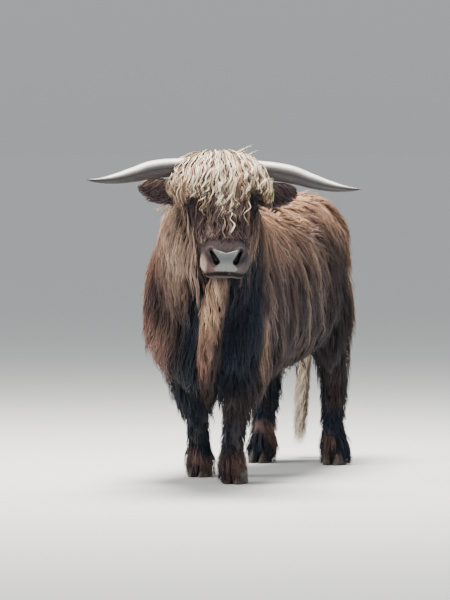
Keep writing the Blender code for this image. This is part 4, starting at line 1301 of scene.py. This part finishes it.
def head_length(points):
    """Very short at the muzzle, short down the face, and long on the cheeks."""
    spots = head_places(points)
    high = step_up(np.abs(spots[:, 0]), 0.07, 0.12) * step_up(-spots[:, 1], -0.34, -0.22)
    down_the_face = 0.014 + 0.034 * step_up(-spots[:, 1], -0.44, -0.28)
    return down_the_face + 0.075 * high * step_up(-spots[:, 2], 0.00, 0.07)


def head_width(points):
    """Finest round the muzzle."""
    return 0.0016 + 0.0020 * step_up(-head_places(points)[:, 1], -0.42, -0.30)


by_muzzle = step_up(triangle_spots[:, 1], 0.36, 0.43)
locks("coat_head", part["head"] * (1 - 0.8 * by_muzzle), leaders=680, followers=5, lie=head_lie,
      length=head_length, rise=lambda points: 0.22 * head_length(points) + 0.001, droop=0.5, cling=0.9,
      steps=4, width=head_width, spread=0.010, seed=180, wave=0.0012, wave_length=0.05, root_shade=0.85)


def leftness(lines):
    """How far to the head's left each point of the lines lies."""
    return head_places(lines.reshape(-1, 3))[:, 0].reshape(lines.shape[:2])


def brow_length(points):
    """Long enough to end just above the muzzle."""
    return np.clip(0.400 - head_places(points)[:, 1], 0.024, 0.130)


def brow_tint(strands, own, dice):
    """Mauve brown, with fairer locks among them."""
    fair = 0.60 * (dice.random(own.max() + 1) ** 3)[own].repeat(strands.shape[1])
    fair = fair * step_up(-leftness(strands).ravel(), -0.05, 0.0)
    return mix(linear(76, 60, 60), linear(190, 160, 142), fair).reshape(strands.shape)


on_brow = step_up(-np.abs(triangle_spots[:, 0]), -0.100, -0.075)
on_brow = on_brow * step_up(-triangle_spots[:, 1], -0.365, -0.335)
on_brow = on_brow * step_up(triangle_spots[:, 1], 0.12, 0.18) * step_up(triangle_spots[:, 2], -0.02, 0.0)
locks("coat_brow", part["head"] * on_brow, leaders=150, followers=5, lie=head_lie, length=brow_length,
      rise=lambda points: 0.16 * brow_length(points), droop=0.35, cling=0.6, steps=9, width=0.0040,
      spread=0.009, seed=186, wave=0.0035, wave_length=0.075, tint=brow_tint, gather=0.75, tone=0.26,
      loose=0.3)


def cheek_tint(strands, own, dice):
    """Pinkish tan with mauve brown between, palest high on the right cheek, partly by painted sunlight."""
    fair = dice.random(own.max() + 1)[own][:, None] * np.ones(strands.shape[:2])
    share = np.linspace(0, 1, strands.shape[1])[None] * np.ones(strands.shape[:2])
    right = step_up(-leftness(strands).ravel(), -0.05, 0.05) * step_up(strands[:, :, 2].ravel(), 0.76, 0.94)
    fairness = (fair ** 0.8 * (0.5 + 0.5 * share)).ravel() * (0.32 + 0.68 * right)
    return mix(linear(90, 74, 72), linear(236, 202, 176), fairness).reshape(strands.shape)


for side_name, sign, thick, reach in (("left", 1.0, 50, 0.16), ("right", -1.0, 110, 0.19)):
    outer = step_up(sign * triangle_spots[:, 0], 0.09, 0.13) * step_up(-triangle_spots[:, 1], -0.36, -0.26)
    lower = step_up(-triangle_spots[:, 2], -0.02, 0.03) * step_up(triangle_spots[:, 1], 0.06, 0.12)
    locks(f"coat_cheek_{side_name}", part["head"] * outer * lower, leaders=thick, followers=6, lie=neck_lie,
          length=steady(reach), rise=steady(0.046), droop=0.8, cling=0.35, steps=8, width=0.0044,
          spread=0.014, seed=184 + len(side_name), wave=0.006, wave_length=0.12, tint=cheek_tint)

# ------------------------------------------------------------------ the forelock
# Cream, crimped locks that spring from the top of the poll, cover the roots of the horns and the eyes,
# and fall down the face over darker hair. They lie at three depths under the crown's own shape.
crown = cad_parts["forelock"].data
crown_points = [corner.co.copy() for corner in crown.vertices]
crown_faces, crown_middles, crown_normals, crown_areas = [], [], [], []
for face in crown.polygons:
    spot = head_places(np.array([face.center]))[0]
    away = Vector(face.center) - on_head(0.6 * spot[0], max(spot[1], 0.05), -0.04)
    if face.normal.dot(away) > 0.25 * away.length:
        crown_faces.append(list(face.vertices))
        crown_middles.append(face.center.copy())
        crown_normals.append(face.normal.copy())
        crown_areas.append(face.area)
crown_shell = BVHTree.FromPolygons(crown_points, crown_faces)
crown_corners = np.array([[crown_points[corner] for corner in face] for face in crown_faces])
crown_normals = np.array(crown_normals)
crown_spots = head_places(np.array(crown_middles))
whorl = np.array(poll + head_ahead * -0.075 + head_up * 0.060)
forelock_run, forelock_lift = 0.46, 0.006


def crown_lie(points, normals):
    """Out from the whorl on all sides, forwards, and then down."""
    away = unit(along_surface(points - whorl, normals))
    near = 1.2 * np.exp(-np.linalg.norm(points - whorl, axis=1) / 0.18)[:, None]
    heading = along_surface(away * near + down * 0.8 + ahead_axis * 0.2, normals)
    return turned(unit(heading), normals, swell(points, 0.10, 51) * 0.11)


def draped(roots, normals, length, depth, fringe, steps):
    """Lines that flow over the crown, each at its own depth under it, as far down as the fringe."""
    places = roots - normals * depth[:, None]
    outward = normals
    lines, heading = [places - normals * 0.02], unit(crown_lie(places, normals))
    for _ in range(steps):
        heading = unit(heading * 0.5 + crown_lie(places, outward) * 0.5)
        places = places + heading * (length / steps)
        hits = [crown_shell.find_nearest(place) for place in places]
        cover, outward = np.array([hit[0] for hit in hits]), np.array([hit[1] for hit in hits])
        below = ((cover - places) * outward).sum(1) - depth
        places = places + outward * below[:, None]
        lines.append(places)
    lines = np.stack(lines, 1)
    past = lines[:, :, 2] < fringe(lines)
    past[:, -1] = True
    return cut_short(lines, past.argmax(1) / steps)


def forelock_layer(name, leaders, followers, depths, upper, steps, width, spread, seed, fringe, **style):
    """A layer of the forelock, between two depths under the crown, rooted down to upper on the face."""
    dice = np.random.default_rng(seed)
    above = np.array(crown_middles)[:, 2] - fringe(np.array(crown_middles)[:, None])[:, 0]
    chance = np.array(crown_areas) * (0.08 + step_up(-crown_spots[:, 1], -upper, 0.02))
    chance = chance * step_up(above, 0.05, 0.10)
    chance = chance * (1 - 0.5 * step_up(np.abs(crown_spots[:, 0]), 0.13, 0.17))
    picked = dice.choice(len(chance), leaders, p=chance / chance.sum())
    roots = (crown_corners[picked] * triangle_shares(leaders, dice)).sum(1)
    depth = dice.uniform(*depths, leaders)
    end_noise = dice.normal(size=(leaders, 1)) * 0.042 + 0.010

    def uneven_fringe(lines):
        """The fringe's height for each lock, most uneven in the middle of the face."""
        return fringe(lines) + end_noise * (1 - 0.75 * step_up(np.abs(leftness(lines)), 0.085, 0.115))

    lines = draped(roots, crown_normals[picked], forelock_run, depth, uneven_fringe, steps)
    return bundled(name, lines, crown_normals[picked], np.full(leaders, forelock_lift), followers, width,
                   spread, dice, on_skin=False, slot="pale_hair", ragged=0.10, **style)


def long_fringe(lines):
    """The height at which the dark under layer ends: low over the nose, high over the eyes."""
    across = [-0.165, -0.145, -0.10, -0.045, 0.045, 0.10, 0.175, 0.19]
    heights = [0.03, 0.04, 0.03, -0.155, -0.155, 0.02, 0.06, 0.04]
    return eyes_middle.z + np.interp(leftness(lines), across, heights)


def short_fringe(lines):
    """The height at which most of the cream locks end: they part over the eyes."""
    across = [-0.19, -0.175, -0.155, -0.142, -0.108, -0.092, 0.00, 0.092, 0.106, 0.166, 0.180]
    heights = [0.03, -0.015, -0.02, 0.022, 0.022, -0.01, -0.025, -0.02, 0.042, 0.048, 0.000]
    return eyes_middle.z + np.interp(leftness(lines), across, heights)


def curl_fringe(lines):
    """The height at which the long single curls over the face end."""
    across = [-0.12, -0.095, -0.03, 0.06, 0.085, 0.105]
    heights = [0.04, -0.030, -0.072, -0.066, -0.045, 0.06]
    return eyes_middle.z + np.interp(leftness(lines), across, heights)


def in_shade(strands, shallow, deepest, darkest):
    """How bright each strand is for its depth under the crown: hair that lies deeper is darker."""
    depth = np.array([crown_shell.find_nearest(place)[3] for place in strands[:, strands.shape[1] // 3]])
    return (1 - (1 - darkest) * step_up(depth, shallow, deepest)).repeat(strands.shape[1])[:, None]


def under_tint(strands, own, dice):
    """Mauve brown, fairer towards the crown."""
    spots = head_places(strands.reshape(-1, 3))
    fair = 0.7 * (dice.random(own.max() + 1) ** 4)[own].repeat(strands.shape[1])
    low = mix(linear(80, 64, 64), linear(232, 200, 176), fair)
    tones = mix(linear(122, 94, 82), low, step_up(spots[:, 1], 0.02, 0.16))
    return (tones * in_shade(strands, 0.012, 0.032, 0.62)).reshape(strands.shape)


def forelock_tint(strands, own, dice):
    """Cream to pinkish gold, bleached by the sun; browner low on the face, partly its own colour and partly
    painted shade; darker between the locks and at their roots by painted shade.
    """
    leaders = own.max() + 1
    rings = strands.shape[1]
    spots = head_places(strands.reshape(-1, 3))
    kind = (dice.random(leaders)[own] + 0.16 * dice.normal(size=len(own))).repeat(rings)
    top = mix(linear(98, 72, 62), linear(206, 168, 138), step_up(kind, 0.06, 0.40))
    top = mix(top, linear(255, 229, 195), step_up(kind, 0.46, 0.70))
    share = np.tile(np.linspace(0, 1, rings), len(own))
    low = step_up(spots[:, 1], 0.12, 0.23) * np.where(kind > 0.72, 0.10, 0.80)
    low = np.maximum(low, 0.15 * step_up(np.abs(spots[:, 0]), 0.12, 0.18))
    shaded = (0.80 + 0.30 * share ** 0.7)[:, None] * in_shade(strands, 0.002, 0.012, 0.66)
    return (mix(top, linear(112, 88, 82), low) * shaded).reshape(strands.shape)


def curl_tint(strands, own, dice):
    """The palest cream, a little darker at the roots by painted shade, and some of them mauve brown towards
    the tips.
    """
    shaded = 0.80 + 0.24 * np.linspace(0, 1, strands.shape[1])
    low = step_up(eyes_middle.z - strands[:, :, 2], 0.01, 0.06)
    low = low * (dice.random(own.max() + 1) < 0.5)[own][:, None]
    tones = mix(linear(255, 240, 214), linear(150, 124, 114), low.ravel())
    return tones.reshape(strands.shape) * shaded[None, :, None]


forelock_layer("coat_forelock_under", leaders=120, followers=5, depths=(0.003, 0.026), upper=0.26, steps=24,
               width=0.0056, spread=0.009, seed=191, fringe=long_fringe, wave=0.0080, wave_length=0.064,
               tint=under_tint, gather=0.75, tone=0.30, loose=0.3, wave_from=whorl)
forelock_layer("coat_curls", leaders=60, followers=3, depths=(-0.002, 0.004), upper=0.16, steps=34,
               width=0.0050, spread=0.004, seed=194, fringe=curl_fringe, wave=0.0100, wave_length=0.056,
               tint=curl_tint, gather=0.8, tone=0.08, loose=0.2, onset=1.2, wave_from=whorl)
forelock = forelock_layer("coat_forelock", leaders=295, followers=4, depths=(0.001, 0.014), upper=0.20,
                          steps=28, width=0.0058, spread=0.008, seed=192, fringe=short_fringe, wave=0.0085,
                          wave_length=0.058, tint=forelock_tint, gather=0.80, tone=0.16, loose=0.25,
                          onset=1.3, wave_from=whorl)
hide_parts("forelock")

# A wisp that the wind lifts off the left of the crown.
dice = np.random.default_rng(193)
wisp_share = np.linspace(0, 1, 9)[None, :, None]
wisps = 18
wisp_roots = np.array(poll + to_left * 0.065 + head_ahead * -0.05 + head_up * 0.070)
wisp_roots = wisp_roots + left_axis * dice.normal(size=(wisps, 1, 1)) * 0.022
wisp_roots = wisp_roots + dice.normal(size=(wisps, 1, 3)) * 0.006
wisp_way = np.array(to_left * 0.056 + head_up * 0.054) * dice.uniform(0.5, 1.0, (wisps, 1, 1))
wisp_way = wisp_way + dice.normal(size=(wisps, 1, 3)) * 0.007
wisp_lines = wisp_roots + wisp_way * wisp_share - np.array([0.0, 0.0, 0.012]) * wisp_share ** 2


def wisp_tint(strands, own, dice):
    """Cream, a little greyed."""
    return 0.9 * cream + 0 * strands


bundled("coat_wisp", wisp_lines, np.tile(up_axis, (wisps, 1)), lift=np.full(wisps, 0.002), followers=6,
        width=0.0052, spread=0.007, dice=dice, wave=0.002, wave_length=0.05, tint=wisp_tint, on_skin=False,
        slot="pale_hair", ragged=0.3)

# ------------------------------------------------------------------ the hair of the ears
# Short dark hair with a pinkish upper rim, rooted all over the ear's hide. It runs out along each ear
# and droops from its edges.


def ear_colour(points):
    """Dark, with a pinkish upper rim."""
    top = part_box("ear_left")[1].z
    upper_rim = step_up(points[:, 2], top - 0.030, top - 0.004)
    return mix(linear(106, 92, 96), linear(176, 144, 132), 0.8 * upper_rim)


for side, side_name in both_sides:
    on_ear = triangle_owner == flesh.index(f"ear_{side_name}")
    ear_out = left_axis * side

    def ear_lie(points, normals):
        """Out along the ear and drooping from its edges."""
        return unit(ear_out + np.array([[0.0, 0.0, -0.55]]) + 0 * points)

    locks(f"coat_ear_{side_name}", on_ear * 1.0, leaders=260, followers=4, lie=ear_lie, length=steady(0.036),
          rise=steady(0.004), droop=0.4, cling=0.8, steps=4, width=0.0034, spread=0.008,
          seed=200 + len(side_name), wave=0.0015, wave_length=0.06, colour_of=ear_colour)

# ------------------------------------------------------------------ the hair of the dewlap
# A long tan fall of fine locks from the chin to the brisket, rooted in the dewlap's fold of hide. It darkens
# at its foot, and painted shade darkens it at both sides and right under the chin.


def dewlap_colour(points):
    """Blue black right under the chin by painted shade, tan below it, browner lower down, narrowing to the
    dark foot, and darkened by painted shade on both sides, most on its left.
    """
    left = head_places(points)[:, 0]
    heights = [0.36, 0.50, 0.72, 0.80]
    off = left - np.interp(points[:, 2], heights, [-0.044, -0.036, -0.036, -0.018])
    half = np.interp(points[:, 2], heights, [0.014, 0.038, 0.044, 0.054])
    colour = mix(linear(132, 100, 88), linear(198, 163, 135), step_up(points[:, 2], 0.56, 0.72))
    colour = mix(colour, linear(60, 50, 52), 0.85 * step_up(np.abs(off) - half, -0.018, 0.012))
    colour = mix(colour, shaded_blue_black, 0.50 * step_up(off, 0.0, 0.045))
    colour = mix(colour, shaded_blue_black, step_up(points[:, 2], 0.80, 0.86))
    colour = mix(colour, linear(54, 44, 44), step_up(-points[:, 2], -0.50, -0.40))
    return colour * np.exp(0.36 * swell(points * [1.0, 1.0, 0.2], 0.05, 62))[:, None]


locks("coat_dewlap", part["dewlap"] * 1.0, leaders=215, followers=7, lie=neck_lie, length=steady(0.14),
      rise=steady(0.022), droop=0.8, cling=0.3, steps=7, width=0.0042, spread=0.016, seed=210, wave=0.009,
      wave_length=0.09, colour_of=dewlap_colour, root_shade=0.8)

# ------------------------------------------------------------------ the tail
# Short brown hair down the dock, and the long cream hair of the switch at its end, which hangs nearly to
# the ground.
locks("coat_tail", part["tail"] * 1.0, leaders=90, followers=6, lie=leg_lie, length=steady(0.08),
      rise=steady(0.012), droop=0.8, cling=0.3, steps=4, width=0.005, spread=0.010, seed=220)
switch_low, switch_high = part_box("tail_switch")
switch_top = switch_high.z + 0.06
dice = np.random.default_rng(230)
switch_leaders, switch_followers, switch_steps = 64, 8, 12
share = np.linspace(0, 1, switch_steps + 1)
own = np.repeat(np.arange(switch_leaders), switch_followers)
top = np.array([0.5 * (switch_low.x + switch_high.x) + 0.012, 0.5 * (switch_low.y + switch_high.y),
                switch_top])
reach = (1 - 0.5 * dice.random(len(own)) ** 1.3) * (switch_top - switch_low.z)
angle = np.repeat(dice.uniform(0, 2 * math.pi, switch_leaders), switch_followers)
angle = angle + dice.normal(size=len(own)) * 0.25
away = np.repeat(np.sqrt(dice.random(switch_leaders)), switch_followers) * dice.uniform(0.8, 1.15, len(own))
girth = 0.009 + 0.020 * share ** 0.8
drift = np.array([-0.045, -0.01, 0.0])[None] * share[:, None]
spoke = np.stack([np.cos(angle), np.sin(angle), 0 * angle], 1)
strands = top + drift[None] + spoke[:, None] * (away[:, None] * girth[None])[:, :, None]
strands[:, :, 2] -= reach[:, None] * share[None]
phase = np.repeat(dice.uniform(0, 6.3, switch_leaders), switch_followers)[:, None]
phase = phase + dice.normal(size=(len(own), 1)) * 0.4
turns = reach[:, None] / 0.10 * share[None] * 2 * math.pi
strands[:, :, 0] += 0.010 * np.sin(turns + phase) * share[None]
strands[:, :, 1] += 0.010 * np.cos(turns + phase) * share[None]
shade = np.exp(dice.normal(size=len(own)) * 0.16)
darker = step_up(np.cos(angle) * away + 0.35 * dice.normal(size=len(own)), 0.25, 0.75)
strand_colour = mix(np.tile(cream * 0.95, (len(own), 1)), linear(110, 88, 76), 0.85 * darker)
colours = strand_colour[:, None, :] * shade[:, None, None] * (0.6 + 0.5 * share[None, :, None] ** 0.6)
patch = loop_uvs[triangle_loops[nearest_skin(strands[:, 0])[2]]].mean(1)
switch = lock_mesh("coat_switch", strands, spoke, dice.uniform(0.004, 0.007, len(own)),
                   np.clip(colours, 0, 1), patch)
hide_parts("tail_switch")
